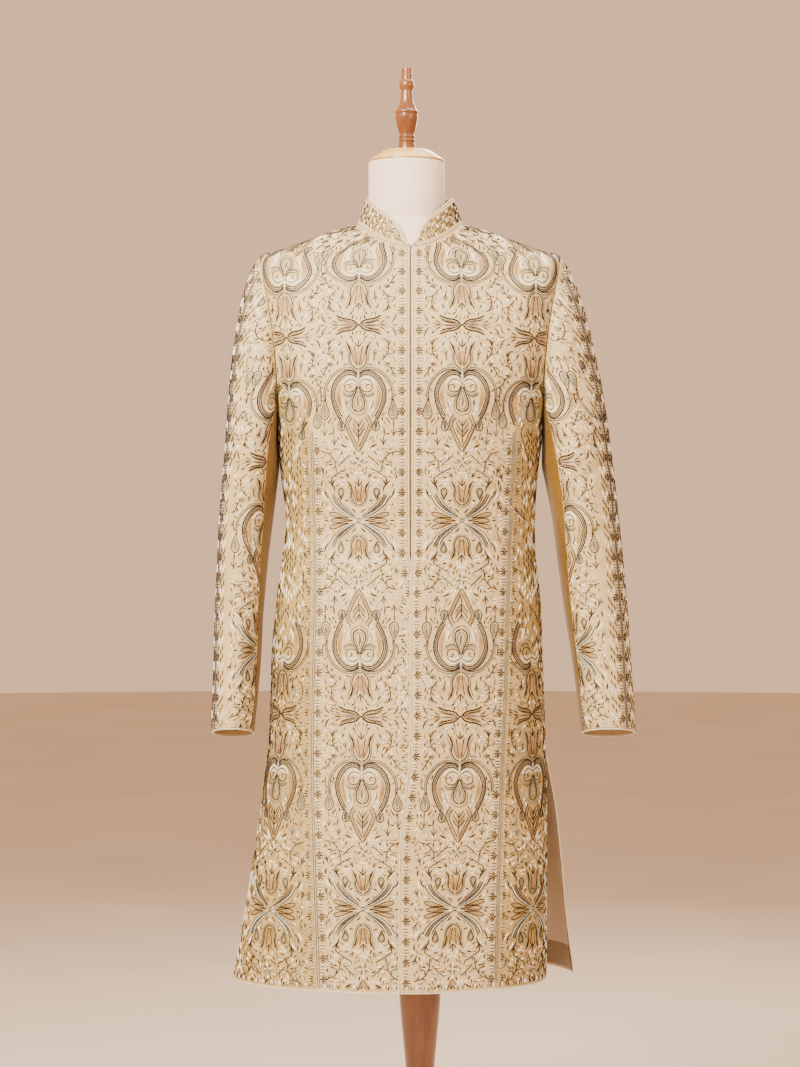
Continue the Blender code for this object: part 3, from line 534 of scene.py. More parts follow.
def make_slit_lining(lining, facing):
    made = []
    facing_ring = HEM_RING - 0.45
    for name, low, high, count, material, slot_name in (
            ("lining_back_left", SLIT_RING - 0.4, facing_ring, 44, lining, "lining"),
            ("hem_facing_back_left", facing_ring + 0.004, HEM_RING - 0.03, 8, facing,
             "gold_silk")):
        rows = np.linspace(low, high, count)
        edge = slit_turn(rows, "back") - 0.006
        share = np.linspace(0, 1, 22)
        turn = edge[:, None] - math.radians(44) * share
        data = coat_wall("cloth_" + name, turn, rows[:, None], "back", "left",
                         np.zeros(len(share)), depth=WALL + FIT_GAP, thick=STRIP_WALL)
        made.append(link("cloth_" + name, data, [material, material]))
    return made


# Sleeves: walk runs round the sleeve (0 outside, a quarter turn at the front, negative at
# the back) and place along it, from -1 at the armhole over 0 at the bicep to 1 at the cuff

# Columns: place, walk, depth, height, width, slant
SLEEVE_CREASES = (
    (0.02, 1.3, 0.0024, 0.030, 0.9, 0.10),
    (0.16, 1.7, 0.0022, 0.026, 0.8, -0.08),
    (0.30, 1.2, 0.0020, 0.024, 0.9, 0.09),
    (0.44, 1.8, 0.0016, 0.024, 0.7, -0.06),
    (0.62, 1.4, 0.0014, 0.022, 0.8, 0.05),
    (0.84, 1.5, 0.0014, 0.020, 0.9, -0.04),
    (0.24, -1.6, 0.0018, 0.030, 0.9, 0.06),
    (0.52, -1.4, 0.0016, 0.026, 0.9, -0.07),
    (-0.45, 1.2, 0.0018, 0.060, 0.6, 0.12),
)


def sleeve_crease(walk, place):
    total = np.zeros_like(walk)
    for middle, round_at, depth, height, width, slant in SLEEVE_CREASES:
        turned = (walk - round_at + math.pi) % (2 * math.pi) - math.pi
        off = place - middle - slant * turned
        total = total + depth * np.exp(-(off / height) ** 2 - (turned / width) ** 2)
    return total


def sleeve_angle(walk, share):
    seam = mix(SLEEVE_SEAM_WALK, SLEEVE_SEAM_AT_CUFF, share)
    size = np.abs(walk)
    inside = size * seam / SLEEVE_SEAM_WALK
    beyond = mix(seam, math.pi, (size - SLEEVE_SEAM_WALK) / (math.pi - SLEEVE_SEAM_WALK))
    return np.sign(walk) * np.where(size <= SLEEVE_SEAM_WALK, inside, beyond)


def sleeve_ring_points(side, walk, share):
    share = np.asarray(share, float)
    value = {name: curve(SLEEVE_STEPS, SLEEVE_TABLE[side][name], share)
             for name in SLEEVE_COLUMNS}
    angle = sleeve_angle(walk, share)
    x = mix(value["inner_x"], value["outer_x"], (1 + np.cos(angle)) / 2)
    y = value["centre_y"] - value["half_depth"] * np.sin(angle)
    z = value["z"] - (y - value["centre_y"]) * np.tan(np.radians(value["pitch"]))
    return np.stack((COAT_X + SIGN[side] * x, y, z), axis=-1)


def sleeve_start(side, walk):
    size = np.clip(np.abs(walk), 0, math.pi)
    points = []
    for half in ("front", "back"):
        turn, ring = armhole(size)
        point = base_points(turn, ring, half, side)
        normal = outer_normals(turn, np.clip(ring, EDGE_OF_TABLE, HEM_RING - EDGE_OF_TABLE),
                               half, side, point)
        after = armhole(np.minimum(size + 0.01, math.pi))
        before = armhole(np.maximum(size - 0.01, 0))
        run = base_points(*after, half, side) - base_points(*before, half, side)
        into = np.cross(normal, run)
        into = into / np.linalg.norm(into, axis=-1, keepdims=True)
        centre = base_points(np.array(QUARTER), np.array(ARMHOLE_MIDDLE), "front", side)
        wrong = np.sum(into * (centre - point), axis=-1) < 0
        into = np.where(wrong[..., None], -into, into)
        low = smooth(size / math.pi)[..., None]
        points.append(point + into * SEAM_GAP + normal * mix(0.0, 0.0007, low))
    return np.where((walk >= 0)[..., None], points[0], points[1])


def sleeve_base(side, walk, place):
    walk, place = np.broadcast_arrays(np.asarray(walk, float), np.asarray(place, float))
    walk = (walk + math.pi) % (2 * math.pi) - math.pi
    lower = sleeve_ring_points(side, walk, np.maximum(place, 0))
    share = np.clip(place + 1, 0, 1)[..., None]
    start = sleeve_start(side, walk)
    end = sleeve_ring_points(side, walk, np.zeros_like(walk))
    length = np.linalg.norm(end - start, axis=-1)[..., None]
    leave = np.stack((SIGN[side] * (0.225 + 0.175 * np.cos(walk)), -0.30 * np.sin(walk),
                      -0.73 + 0.27 * np.cos(walk)), axis=-1) * length
    next_ring = sleeve_ring_points(side, walk, np.full_like(walk, 0.02))
    arrive = (next_ring - end) / 0.02 * length / SLEEVE_LENGTH
    rest = 1 - share
    upper = (start * rest * rest * (1 + 2 * share) + end * share * share * (3 - 2 * share)
             + share * rest * (leave * rest - arrive * share))
    return np.where((place >= 0)[..., None], lower, upper)


def sleeve_points(side, walk, place):
    """Points of the sleeve's outer face, creased, and its outward normals."""
    walk, place = np.broadcast_arrays(np.asarray(walk, float), np.asarray(place, float))
    safe = np.clip(place, -0.998, 0.998)
    normal = normals_of(lambda a, b: sleeve_base(side, a, b), walk, safe, 1.5e-3)
    point = sleeve_base(side, walk, place)
    middle = (sleeve_base(side, np.zeros_like(walk), place)
              + sleeve_base(side, np.full_like(walk, math.pi - 1e-6), place)) / 2
    wrong = np.sum(normal * (point - middle), axis=-1) < 0
    normal = np.where(wrong[..., None], -normal, normal)
    free = smooth((place + 0.95) / 0.3) * smooth((0.98 - place) / 0.08)
    depth = sleeve_crease(walk, place) * free
    near_body = np.exp(-((np.abs(walk) - math.pi) / 0.8) ** 2) * (place < 0.25)
    return point - normal * (depth * (1 - near_body))[..., None], normal


SLEEVE_PLACES = np.concatenate((np.linspace(-1, 0, 34)[:-1], np.linspace(0, 1, 62)))


def make_sleeves(upper_materials, under_materials):
    made = {}
    for side in ("right", "left"):
        for part, low, high, count, materials, slot_name in (
                ("upper", -SLEEVE_BACK_WALK, SLEEVE_SEAM_WALK, 44, upper_materials, "brocade"),
                ("under", SLEEVE_SEAM_WALK, 2 * math.pi - SLEEVE_BACK_WALK, 20,
                 under_materials, "gold_silk")):
            share = panel_columns(count, 0.26 if part == "upper" else 0.12)
            trim = 0.004
            walk = mix(low + trim, high - trim, share)[None, :]
            outer, normal = sleeve_points(side, walk, SLEEVE_PLACES[:, None])
            roll = roll_of(len(share))[None, :, None]
            outer = outer - normal * roll
            inner = outer - normal * (WALL - roll)
            name = "cloth_sleeve_" + part + "_" + side
            made["sleeve_" + part + "_" + side] = link(name, wall_mesh(name, outer, inner),
                                                       materials)
    return made


# Collar: run is the distance along its base from the right front corner

def collar_base_line():
    first = turn_at_x(np.array(COLLAR_FRONT_GAP), np.array(0.0), "front", "left")
    turns = mix(float(first), 2 * math.pi - float(first), np.linspace(0, 1, 721))
    front = np.cos(turns) > 0
    side_turn = np.arcsin(np.clip(np.abs(np.sin(turns)), 0, 1))
    points = np.zeros((721, 3))
    for half, mask in (("front", front), ("back", ~front)):
        for side, sign_mask in (("left", np.sin(turns) >= 0), ("right", np.sin(turns) < 0)):
            use = mask & sign_mask
            points[use] = base_points(side_turn[use], np.zeros(use.sum()), half, side)
    return turns, points


COLLAR_LINE_TURNS, COLLAR_LINE = collar_base_line()
COLLAR_RUN = np.concatenate(((0,), np.cumsum(np.linalg.norm(np.diff(COLLAR_LINE, axis=0),
                                                            axis=1))))
COLLAR_LENGTH = COLLAR_RUN[-1]


def collar_height(run):
    near_end = np.minimum(run, COLLAR_LENGTH - run)
    return curve(COLLAR_RISE_RUN, COLLAR_RISE, np.clip(near_end, 0, COLLAR_CORNER))


def collar_points(run, height):
    """Points and outward normals of the collar at a distance along and a height above."""
    run, height = np.broadcast_arrays(np.asarray(run, float), np.asarray(height, float))
    turn = np.interp(run, COLLAR_RUN, COLLAR_LINE_TURNS)
    base = np.stack([np.interp(run, COLLAR_RUN, COLLAR_LINE[:, i]) for i in range(3)], axis=-1)
    front = np.where(np.cos(turn) > 0, COLLAR_LEAN["front"], COLLAR_LEAN["back"])
    lean = mix(front, COLLAR_LEAN["side"], np.sin(turn) ** 2)
    outward = np.stack((np.sin(turn), -np.cos(turn), np.zeros_like(turn)), axis=-1)
    up = np.array((0, 0, 1.0)) - outward * lean[..., None]
    up = up / np.linalg.norm(up, axis=-1, keepdims=True)
    normal = outward + np.array((0, 0, 1.0)) * lean[..., None]
    normal = normal / np.linalg.norm(normal, axis=-1, keepdims=True)
    return base + np.array((0, 0, SEAM_GAP)) + up * height[..., None], normal


def make_collar(materials):
    run = np.concatenate((np.linspace(0, COLLAR_CORNER, 26),
                          np.linspace(COLLAR_CORNER, COLLAR_LENGTH - COLLAR_CORNER, 120)[1:-1],
                          np.linspace(COLLAR_LENGTH - COLLAR_CORNER, COLLAR_LENGTH, 26)))
    share = np.linspace(0, 1, 9)
    outer, normal = collar_points(run[None, :], collar_height(run)[None, :] * share[:, None])
    inner = outer - normal * WALL
    return link("cloth_collar", wall_mesh("cloth_collar", outer, inner), materials)


# Twisted cords

CORD_SIDES = 8
CORD_STEP = 0.0017
CORD_PITCH = 0.0052
CORD_TWIST = 0.20
NECK_HOOK_X = COAT_X + 0.0003
NECK_HOOK_Y = -0.0770
NECK_HOOK_Z = 1.4700


def even_line(points, step):
    """The same line with points at even distances."""
    points = np.asarray(points)
    run = np.concatenate(((0,), np.cumsum(np.linalg.norm(np.diff(points, axis=0), axis=1))))
    count = max(int(run[-1] / step), 4)
    at = np.linspace(0, run[-1], count + 1)
    return np.stack([np.interp(at, run, points[:, i]) for i in range(3)], axis=1), at


def cord_mesh(name, points, radius, closed=False, step=CORD_STEP, pitch=CORD_PITCH):
    """A cord of two twisted strands along a line."""
    if closed:
        points = np.concatenate((points, points[:1]))
    line, at = even_line(points, step)
    if closed:
        line = line[:-1]
        at = at[:-1]
        tangent = np.roll(line, -1, axis=0) - np.roll(line, 1, axis=0)
    else:
        tangent = np.gradient(line, axis=0)
    tangent = tangent / np.linalg.norm(tangent, axis=1, keepdims=True)
    seed = np.array((0.31, -0.62, 0.72))
    first = np.cross(tangent, seed)
    first = first / np.linalg.norm(first, axis=1, keepdims=True)
    second = np.cross(tangent, first)
    angle = np.arange(CORD_SIDES) * 2 * math.pi / CORD_SIDES
    twist = 2 * math.pi * at / pitch
    wave = 1 - CORD_TWIST / 2 + CORD_TWIST / 2 * np.cos(2 * (angle[None, :] - twist[:, None] / 2))
    reach = radius * wave
    rings = (line[:, None, :] + first[:, None, :] * (np.cos(angle) * reach)[..., None]
             + second[:, None, :] * (np.sin(angle) * reach)[..., None])
    rows = len(rings)
    faces = grid_faces(rows, CORD_SIDES, True)
    if closed:
        last = (rows - 1) * CORD_SIDES
        around = [(last + j, last + (j + 1) % CORD_SIDES, (j + 1) % CORD_SIDES, j)
                  for j in range(CORD_SIDES)]
        faces = np.concatenate((faces, np.array(around)))
        return mesh_of(name, rings.reshape(-1, 3), faces, angle=None)
    points = np.concatenate((rings.reshape(-1, 3), line[:1], line[-1:]))
    ends = []
    for row, tip in ((0, rows * CORD_SIDES), (rows - 1, rows * CORD_SIDES + 1)):
        for j in range(CORD_SIDES):
            a = row * CORD_SIDES + j
            b = row * CORD_SIDES + (j + 1) % CORD_SIDES
            ends.append((tip, b, a) if row == 0 else (tip, a, b))
    data = bpy.data.meshes.new(name)
    data.from_pydata(points.tolist(), [], faces.tolist() + ends)
    data.shade_smooth()
    return data


def edge_cord_line(turns, rings, half, side, toward_middle, lifted=False):
    """Middle line of the piping beside an edge that runs down the coat."""
    point, normal = coat_points(turns, rings, half, side, lifted)
    run = np.gradient(base_points(turns, rings, half, side), axis=0)
    away = np.cross(run, normal)
    away = away / np.linalg.norm(away, axis=1, keepdims=True)
    toward = base_points(turns - 0.01, rings, half, side) - base_points(turns, rings, half, side)
    sign = np.sign(np.sum(away * toward, axis=1)) * (1 if toward_middle else -1)
    away = away * sign[:, None]
    return point + away * (PIPING_RADIUS + FIT_GAP) - normal * (WALL / 2)


def make_piping(material):
    made = {}
    below_hem = np.array((0, 0, 2 * PIPING_RADIUS + FIT_GAP))

    def add(key, line, closed=False):
        made[key] = link("cord_" + key, cord_mesh("cord_" + key, line, PIPING_RADIUS, closed),
                         [material])

    for side in ("right", "left"):
        lifted = side == "left"
        rings = np.linspace(0, HEM_RING, 400)
        line = edge_cord_line(edge_turn(rings, side), rings, "front", side, True, lifted)
        add("piping_edge_" + side, np.concatenate((line, [line[-1] - below_hem])))
        rings = np.linspace(SLIT_RING + 0.1, HEM_RING, 120)
        for half in ("front", "back"):
            line = edge_cord_line(slit_turn(rings, half), rings, half, side, False)
            add("piping_slit_" + half + "_" + side,
                np.concatenate((line, [line[-1] - below_hem])))
        low = np.array(HEM_RING, dtype=float)
        for half, first, last, lift in (
                ("front", float(edge_turn(low, side)) + 0.004,
                 float(slit_turn(low, "front")) - 0.004, lifted),
                ("back", 0.002, float(slit_turn(low, "back")) - 0.004, False)):
            turns = np.linspace(first, last, 160)
            point, normal = coat_points(turns, np.full(160, float(HEM_RING)), half, side, lift)
            line = point - normal * (WALL / 2) - np.array((0, 0, PIPING_RADIUS + FIT_GAP))
            add("piping_hem_" + half + "_" + side, line)
        walks = np.linspace(0, 2 * math.pi, 121)[:-1]
        point, normal = sleeve_points(side, walks, np.ones(120))
        ahead, _ = sleeve_points(side, walks, np.full(120, 0.97))
        down = (point - ahead) / np.linalg.norm(point - ahead, axis=1, keepdims=True)
        add("piping_cuff_" + side, point - normal * (WALL / 2)
            + down * (PIPING_RADIUS + FIT_GAP), True)
    return made


def make_collar_cords(material):
    """Cream cords on the collar: a pair along its top edge and a pair along its seam."""
    run = np.linspace(0.0005, COLLAR_LENGTH - 0.0005, 500)
    top, normal = collar_points(run, collar_height(run))
    line = top - normal * (WALL / 2) + np.array((0, 0, 0.0006))
    start, _ = collar_points(np.full(4, run[0]), np.linspace(0.0002, 0.0024, 4))
    end, _ = collar_points(np.full(4, run[-1]), np.linspace(0.0024, 0.0002, 4))
    line = np.concatenate((start - normal[:1] * (WALL / 2), line, end - normal[-1:] * (WALL / 2)))
    link("collar_edge_cord", cord_mesh("collar_edge_cord", line, 0.0010), [material])
    inner = run[(run > 0.0060) & (run < COLLAR_LENGTH - 0.0060)]
    for name, height in (("collar_second_cord", collar_height(inner) - 0.0034),
                         ("collar_seam_cord", np.full_like(inner, 0.0012)),
                         ("collar_upper_seam_cord", np.full_like(inner, 0.0040))):
        point, normal = collar_points(inner, height)
        link(name, cord_mesh(name, point + normal * 0.0002, 0.0008), [material])


def make_hook(material):
    """A small dark wire hook that closes the collar's seam at the neck."""
    steps = np.linspace(0, 1, 40)
    angle = steps * math.pi * 1.5
    x = NECK_HOOK_X + 0.0016 * np.cos(angle) + 0.0006 * steps
    z = NECK_HOOK_Z + 0.0022 * np.sin(angle)
    y = np.full_like(x, NECK_HOOK_Y)
    line = np.stack((x, y, z), axis=1)
    tail = np.array(((NECK_HOOK_X + 0.0016, NECK_HOOK_Y, NECK_HOOK_Z - 0.0040),))
    line = np.concatenate((tail, line))
    link("neck_hook", cord_mesh("neck_hook", line, 0.00042, step=0.0005, pitch=0.02),
         [material])
# Dress form and stand

NECK_RADIUS = 0.0535
NECK_PROFILE = ((0.0535, 1.5151), (0.0535, 1.5935), (0.0527, 1.5952), (0.0510, 1.5957))
CAP_PROFILE = ((0.0528, 1.5960), (0.0535, 1.5964), (0.0535, 1.5976), (0.0531, 1.5982),
               (0.0337, 1.6114), (0.0326, 1.6118))
FINIAL_PROFILE = (
    (0.0122, 1.6121), (0.0125, 1.6145), (0.0106, 1.6225), (0.0103, 1.6238), (0.0115, 1.6265),
    (0.0103, 1.6290), (0.0113, 1.6315), (0.0099, 1.6350), (0.0114, 1.6386), (0.0133, 1.6450),
    (0.0154, 1.6555), (0.0158, 1.6610), (0.0153, 1.6632), (0.0163, 1.6662), (0.0141, 1.6695),
    (0.0109, 1.6768), (0.0089, 1.6832), (0.0079, 1.6945), (0.0079, 1.6968), (0.0099, 1.7005),
    (0.0104, 1.7045), (0.0095, 1.7090), (0.0077, 1.7120), (0.0074, 1.7180), (0.0072, 1.7264),
    (0.0066, 1.7270),
)
POST_PROFILE = (
    (0.0300, 0.0303), (0.0270, 0.0420), (0.0190, 0.0700), (0.0185, 0.2200), (0.0200, 0.3200),
    (0.0235, 0.3650), (0.0272, 0.4050), (0.0292, 0.4400), (0.0300, 0.5200), (0.0300, 0.8035),
)
BASE_PROFILE = ((0.1900, 0.0), (0.1945, 0.0012), (0.1960, 0.0040), (0.1960, 0.0200),
                (0.1945, 0.0240), (0.1900, 0.0268), (0.1700, 0.0285), (0.0450, 0.0300))
TORSO_TOP = 1.515
TORSO_BOTTOM = 0.8038
TORSO_END_RING = 14.6


def turned(name, profile, material, slot_name, place_x=0.0, sides=64, rounded=True):
    """A turned piece from a profile of radius and height."""
    profile = np.array(profile)
    if rounded:
        steps = np.arange(len(profile))
        fine = np.linspace(0, len(profile) - 1, (len(profile) - 1) * 5 + 1)
        profile = np.stack((curve(steps, profile[:, 0], fine), curve(steps, profile[:, 1], fine)),
                           axis=1)
    angle = np.arange(sides) * 2 * math.pi / sides
    rings = np.stack((place_x + profile[:, :1] * np.cos(angle), profile[:, :1] * np.sin(angle),
                      np.repeat(profile[:, 1:], sides, axis=1)), axis=-1)
    rows = len(profile)
    points = np.concatenate((rings.reshape(-1, 3), ((place_x, 0, profile[0, 1]),),
                             ((place_x, 0, profile[-1, 1]),)))
    faces = grid_faces(rows, sides, True).tolist()
    for row, tip in ((0, rows * sides), (rows - 1, rows * sides + 1)):
        for j in range(sides):
            a = row * sides + j
            b = row * sides + (j + 1) % sides
            faces.append((tip, b, a) if row == 0 else (tip, a, b))
    data = bpy.data.meshes.new(name)
    data.from_pydata(points.tolist(), [], faces)
    data.shade_smooth()
    data.set_sharp_from_angle(angle=math.radians(48))
    return link(name, data, [material])


def torso_points(turn, ring):
    """The form's surface: turn runs all round, and ring as on the coat."""
    point = np.zeros(np.broadcast(turn, ring).shape + (3,))
    turn, ring = np.broadcast_arrays(turn, ring)
    shoulder = np.sin(turn) ** 2 * smooth((5.5 - ring) / 1.5)
    free = mix(0.0055, 0.012, smooth((ring - 5) / 5))
    inset = WALL + mix(free, 0.0005, shoulder)
    side_turn = np.arcsin(np.clip(np.abs(np.sin(turn)), 0, 1))
    for half, in_half in (("front", np.cos(turn) >= 0), ("back", np.cos(turn) < 0)):
        for side, on_side in (("left", np.sin(turn) >= 0), ("right", np.sin(turn) < 0)):
            use = in_half & on_side
            here = base_points(side_turn[use], ring[use], half, side)
            normal = outer_normals(
                np.clip(side_turn[use], EDGE_OF_TABLE, QUARTER - EDGE_OF_TABLE),
                np.maximum(ring[use], EDGE_OF_TABLE), half, side, here)
            point[use] = here - normal * inset[use][..., None]
    return point


def make_torso(material):
    count = 96
    turn = np.arange(count) * 2 * math.pi / count - math.pi
    ring = np.concatenate((np.linspace(0, 6, 40), np.linspace(6, TORSO_END_RING, 40)[1:]))
    body = torso_points(turn[None, :], ring[:, None])
    top = np.stack((NECK_X + NECK_RADIUS * np.sin(turn), -NECK_RADIUS * np.cos(turn),
                    np.full(count, TORSO_TOP)), axis=1)
    rows = [top]
    for share in (0.25, 0.5, 0.75):
        between = mix(top, body[0], share)
        between[:, 2] = between[:, 2] - 0.002 * math.sin(share * math.pi)
        rows.append(between)
    rows.extend(body)
    last = body[-1]
    for shrink, z in ((0.995, TORSO_BOTTOM + 0.012), (0.97, TORSO_BOTTOM + 0.004),
                      (0.90, TORSO_BOTTOM)):
        ring_points = last.copy()
        ring_points[:, 0] = COAT_X + (last[:, 0] - COAT_X) * shrink
        ring_points[:, 1] = last[:, 1] * shrink
        ring_points[:, 2] = z
        rows.append(ring_points)
    rows = np.array(rows)
    faces = grid_faces(len(rows), count, True).tolist()
    points = rows.reshape(-1, 3)
    faces.append(tuple(range(count)))
    faces.append(tuple(range(len(points) - count, len(points)))[::-1])
    data = bpy.data.meshes.new("form_torso")
    data.from_pydata(points.tolist(), [], faces)
    data.shade_smooth()
    data.set_sharp_from_angle(angle=math.radians(50))
    return link("form_torso", data, [material])


# Materials

def colour_of(red, green, blue):
    """Linear colour from the 0-255 values of a screen colour."""
    share = [value / 255 for value in (red, green, blue)]
    return tuple(v / 12.92 if v <= 0.04045 else ((v + 0.055) / 1.055) ** 2.4
                 for v in share) + (1.0,)


class Nodes:
    """A short way to write a material's nodes."""

    def __init__(self, name, roughness=0.6, **constants):
        self.material = bpy.data.materials.new(name)
        self.material.use_nodes = True
        self.tree = self.material.node_tree
        self.shader = self.tree.nodes["Principled BSDF"]
        self.shader.inputs["Roughness"].default_value = roughness
        for key, value in constants.items():
            self.shader.inputs[key.replace("_", " ")].default_value = value
        self.place = self.add("ShaderNodeTexCoord").outputs["Object"]

    def add(self, kind, **settings):
        node = self.tree.nodes.new(kind)
        for key, value in settings.items():
            setattr(node, key, value)
        return node

    def join(self, source, target):
        self.tree.links.new(source, target)

    def put(self, socket, value):
        if hasattr(value, "is_output"):
            self.join(value, socket)
        else:
            socket.default_value = value

    def math(self, operation, first, second=0.0):
        node = self.add("ShaderNodeMath", operation=operation)
        self.put(node.inputs[0], first)
        self.put(node.inputs[1], second)
        return node.outputs[0]

    def stretched(self, scale):
        node = self.add("ShaderNodeMapping")
        self.join(self.place, node.inputs["Vector"])
        node.inputs["Scale"].default_value = scale
        return node.outputs["Vector"]

    def noise(self, scale, detail=2.0, vector=None, roughness=0.5):
        node = self.add("ShaderNodeTexNoise")
        self.join(vector or self.place, node.inputs["Vector"])
        node.inputs["Scale"].default_value = scale
        node.inputs["Detail"].default_value = detail
        node.inputs["Roughness"].default_value = roughness
        return node.outputs["Fac"]

    def ramp(self, value, *stops):
        node = self.add("ShaderNodeValToRGB")
        self.join(value, node.inputs["Fac"])
        while len(node.color_ramp.elements) < len(stops):
            node.color_ramp.elements.new(0.5)
        for element, (place, colour) in zip(node.color_ramp.elements, stops):
            element.position = place
            element.color = colour
        return node.outputs["Color"]

    def blend(self, share, first, second, mode="MIX"):
        node = self.add("ShaderNodeMix", data_type="RGBA", blend_type=mode)
        self.put(node.inputs["Factor"], share)
        self.put(node.inputs["A"], first)
        self.put(node.inputs["B"], second)
        return node.outputs["Result"]

    def finish(self, colour, height=None, distance=0.0004, strength=1.0, roughness=None):
        self.put(self.shader.inputs["Base Color"], colour)
        if roughness is not None:
            self.put(self.shader.inputs["Roughness"], roughness)
        if height is not None:
            bump = self.add("ShaderNodeBump")
            bump.inputs["Distance"].default_value = distance
            bump.inputs["Strength"].default_value = strength
            self.join(height, bump.inputs["Height"])
            self.join(bump.outputs["Normal"], self.shader.inputs["Normal"])
        return self.material


def grey(value):
    return (value, value, value, 1.0)


def woven(nodes, size):
    """Height of a plain weave of threads, near 1 on a thread and 0 between."""
    split = nodes.add("ShaderNodeSeparateXYZ")
    nodes.join(nodes.place, split.inputs[0])
    turns = 2 * math.pi / size
    upright = nodes.math("SINE", nodes.math("MULTIPLY", split.outputs["Z"], turns))
    level = nodes.math("ADD", split.outputs["X"], split.outputs["Y"])
    across = nodes.math("SINE", nodes.math("MULTIPLY", level, turns))
    return nodes.math("ADD", nodes.math("MULTIPLY", upright, 0.5),
                      nodes.math("MULTIPLY", across, 0.5))


def silk_material(name, light, dark, roughness=0.46, sheen=0.12, size=0.0011, worked=0.0):
    """Woven silk: uneven slubs, a fine weave and a soft sheen.  worked adds the close small
    stitches of an embroidered ground."""
    nodes = Nodes(name, Sheen_Weight=sheen, Sheen_Roughness=0.4)
    slub = nodes.noise(6.0, 3.0, nodes.stretched((14.0, 14.0, 130.0)))
    warp = nodes.noise(6.0, 3.0, nodes.stretched((150.0, 150.0, 9.0)))
    cloud = nodes.noise(9.0, 2.0)
    share = nodes.math("MULTIPLY", nodes.math("ADD", nodes.math("ADD", slub, warp), cloud), 0.333)
    colour = nodes.ramp(share, (0.40, dark), (0.60, light))
    height = nodes.math("ADD", nodes.math("MULTIPLY", woven(nodes, size), 0.5), slub)
    if worked:
        stitch = nodes.noise(1.0, 2.0, nodes.stretched((330.0, 330.0, 250.0)), 0.55)
        shade = nodes.ramp(stitch, (0.40, grey(0.62)), (0.52, grey(1.0)), (0.64, grey(1.16)))
        colour = nodes.blend(worked, colour, shade, "MULTIPLY")
        height = nodes.math("ADD", height, nodes.math("MULTIPLY", stitch, 3.0 * worked))
    rough = nodes.math("ADD", nodes.math("MULTIPLY", warp, 0.16), roughness - 0.08)
    return nodes.finish(colour, height, 0.00026, 0.8, rough)
def thread_material(name, light, dark, roughness, metallic, shine):
    """Embroidery thread: fine fibres of uneven tone."""
    nodes = Nodes(name, Metallic=metallic, Sheen_Weight=0.04, Specular_IOR_Level=shine)
    fibre = nodes.noise(1100.0, 2.0)
    tone = nodes.noise(70.0, 2.0)
    share = nodes.math("ADD", nodes.math("MULTIPLY", fibre, 0.5),
                       nodes.math("MULTIPLY", tone, 0.5))
    colour = nodes.ramp(share, (0.36, dark), (0.62, light))
    return nodes.finish(colour, fibre, 0.00018, 0.7, roughness)


# Columns: thread, light tone, dark tone, roughness, metal, shine
THREAD_ROWS = (
    # Bronze is the dark outline thread; as the dark half of a bar pair it is also painted shade.
    ("bronze", (64, 46, 24), (30, 20, 9), 0.50, 0.0, 0.15),
    ("silver", (136, 134, 112), (76, 76, 64), 0.40, 0.10, 0.4),
    ("gold", (192, 156, 78), (136, 106, 46), 0.40, 0.10, 0.4),
    ("green", (158, 160, 114), (108, 110, 74), 0.50, 0.0, 0.3),
    ("rose", (198, 158, 112), (146, 108, 72), 0.52, 0.0, 0.3),
    ("lilac", (100, 94, 92), (60, 56, 58), 0.48, 0.0, 0.3),
    # Cream is partly the real cream thread and partly painted highlights and glints set among the
    # darker strokes.
    ("cream", (255, 253, 240), (252, 244, 218), 0.32, 0.0, 0.7),
)
def cord_material():
    nodes = Nodes("cream_cord", Sheen_Weight=0.25)
    fibre = nodes.noise(900.0, 2.0)
    colour = nodes.ramp(fibre, (0.3, colour_of(206, 190, 146)), (0.7, colour_of(244, 236, 208)))
    return nodes.finish(colour, fibre, 0.0002, 0.6, 0.55)


def form_material():
    """Stretched cotton jersey over a padded form, with faint marks of handling."""
    nodes = Nodes("form_jersey", Sheen_Weight=0.2)
    knit = woven(nodes, 0.0014)
    cloud = nodes.noise(14.0, 3.0)
    colour = nodes.ramp(cloud, (0.35, colour_of(236, 208, 190)), (0.65, colour_of(248, 224, 206)))
    return nodes.finish(colour, knit, 0.0002, 0.5, 0.78)


def wood_material(name, light, dark, gloss, grain=22.0):
    """Turned wood: long grain down the piece, fine pores and a clear varnish."""
    nodes = Nodes(name, Coat_Weight=gloss, Coat_Roughness=0.12)
    rings = nodes.noise(4.0, 4.0, nodes.stretched((grain, grain, 2.2)), 0.6)
    pores = nodes.noise(8.0, 2.0, nodes.stretched((150.0, 150.0, 12.0)))
    colour = nodes.ramp(nodes.math("ADD", nodes.math("MULTIPLY", rings, 0.75),
                                   nodes.math("MULTIPLY", pores, 0.25)),
                        (0.35, dark), (0.62, light))
    return nodes.finish(colour, pores, 0.00012, 0.4, 0.34)


def hook_material():
    nodes = Nodes("dark_hook", Metallic=0.9)
    wear = nodes.noise(300.0)
    colour = nodes.ramp(wear, (0.3, colour_of(38, 34, 32)), (0.7, colour_of(78, 70, 62)))
    return nodes.finish(colour, wear, 0.0001, 0.3, 0.4)


def floor_material():
    nodes = Nodes("pale_floor")
    cloud = nodes.noise(1.5, 2.0)
    colour = nodes.ramp(cloud, (0.3, colour_of(206, 192, 174)), (0.7, colour_of(214, 200, 182)))
    return nodes.finish(colour, None, roughness=0.85)


# Embroidery charts: flat pattern coordinates on a curved surface, p across and v up

CHART_STEP = 0.003
SLOPE_START_Z = 1.42


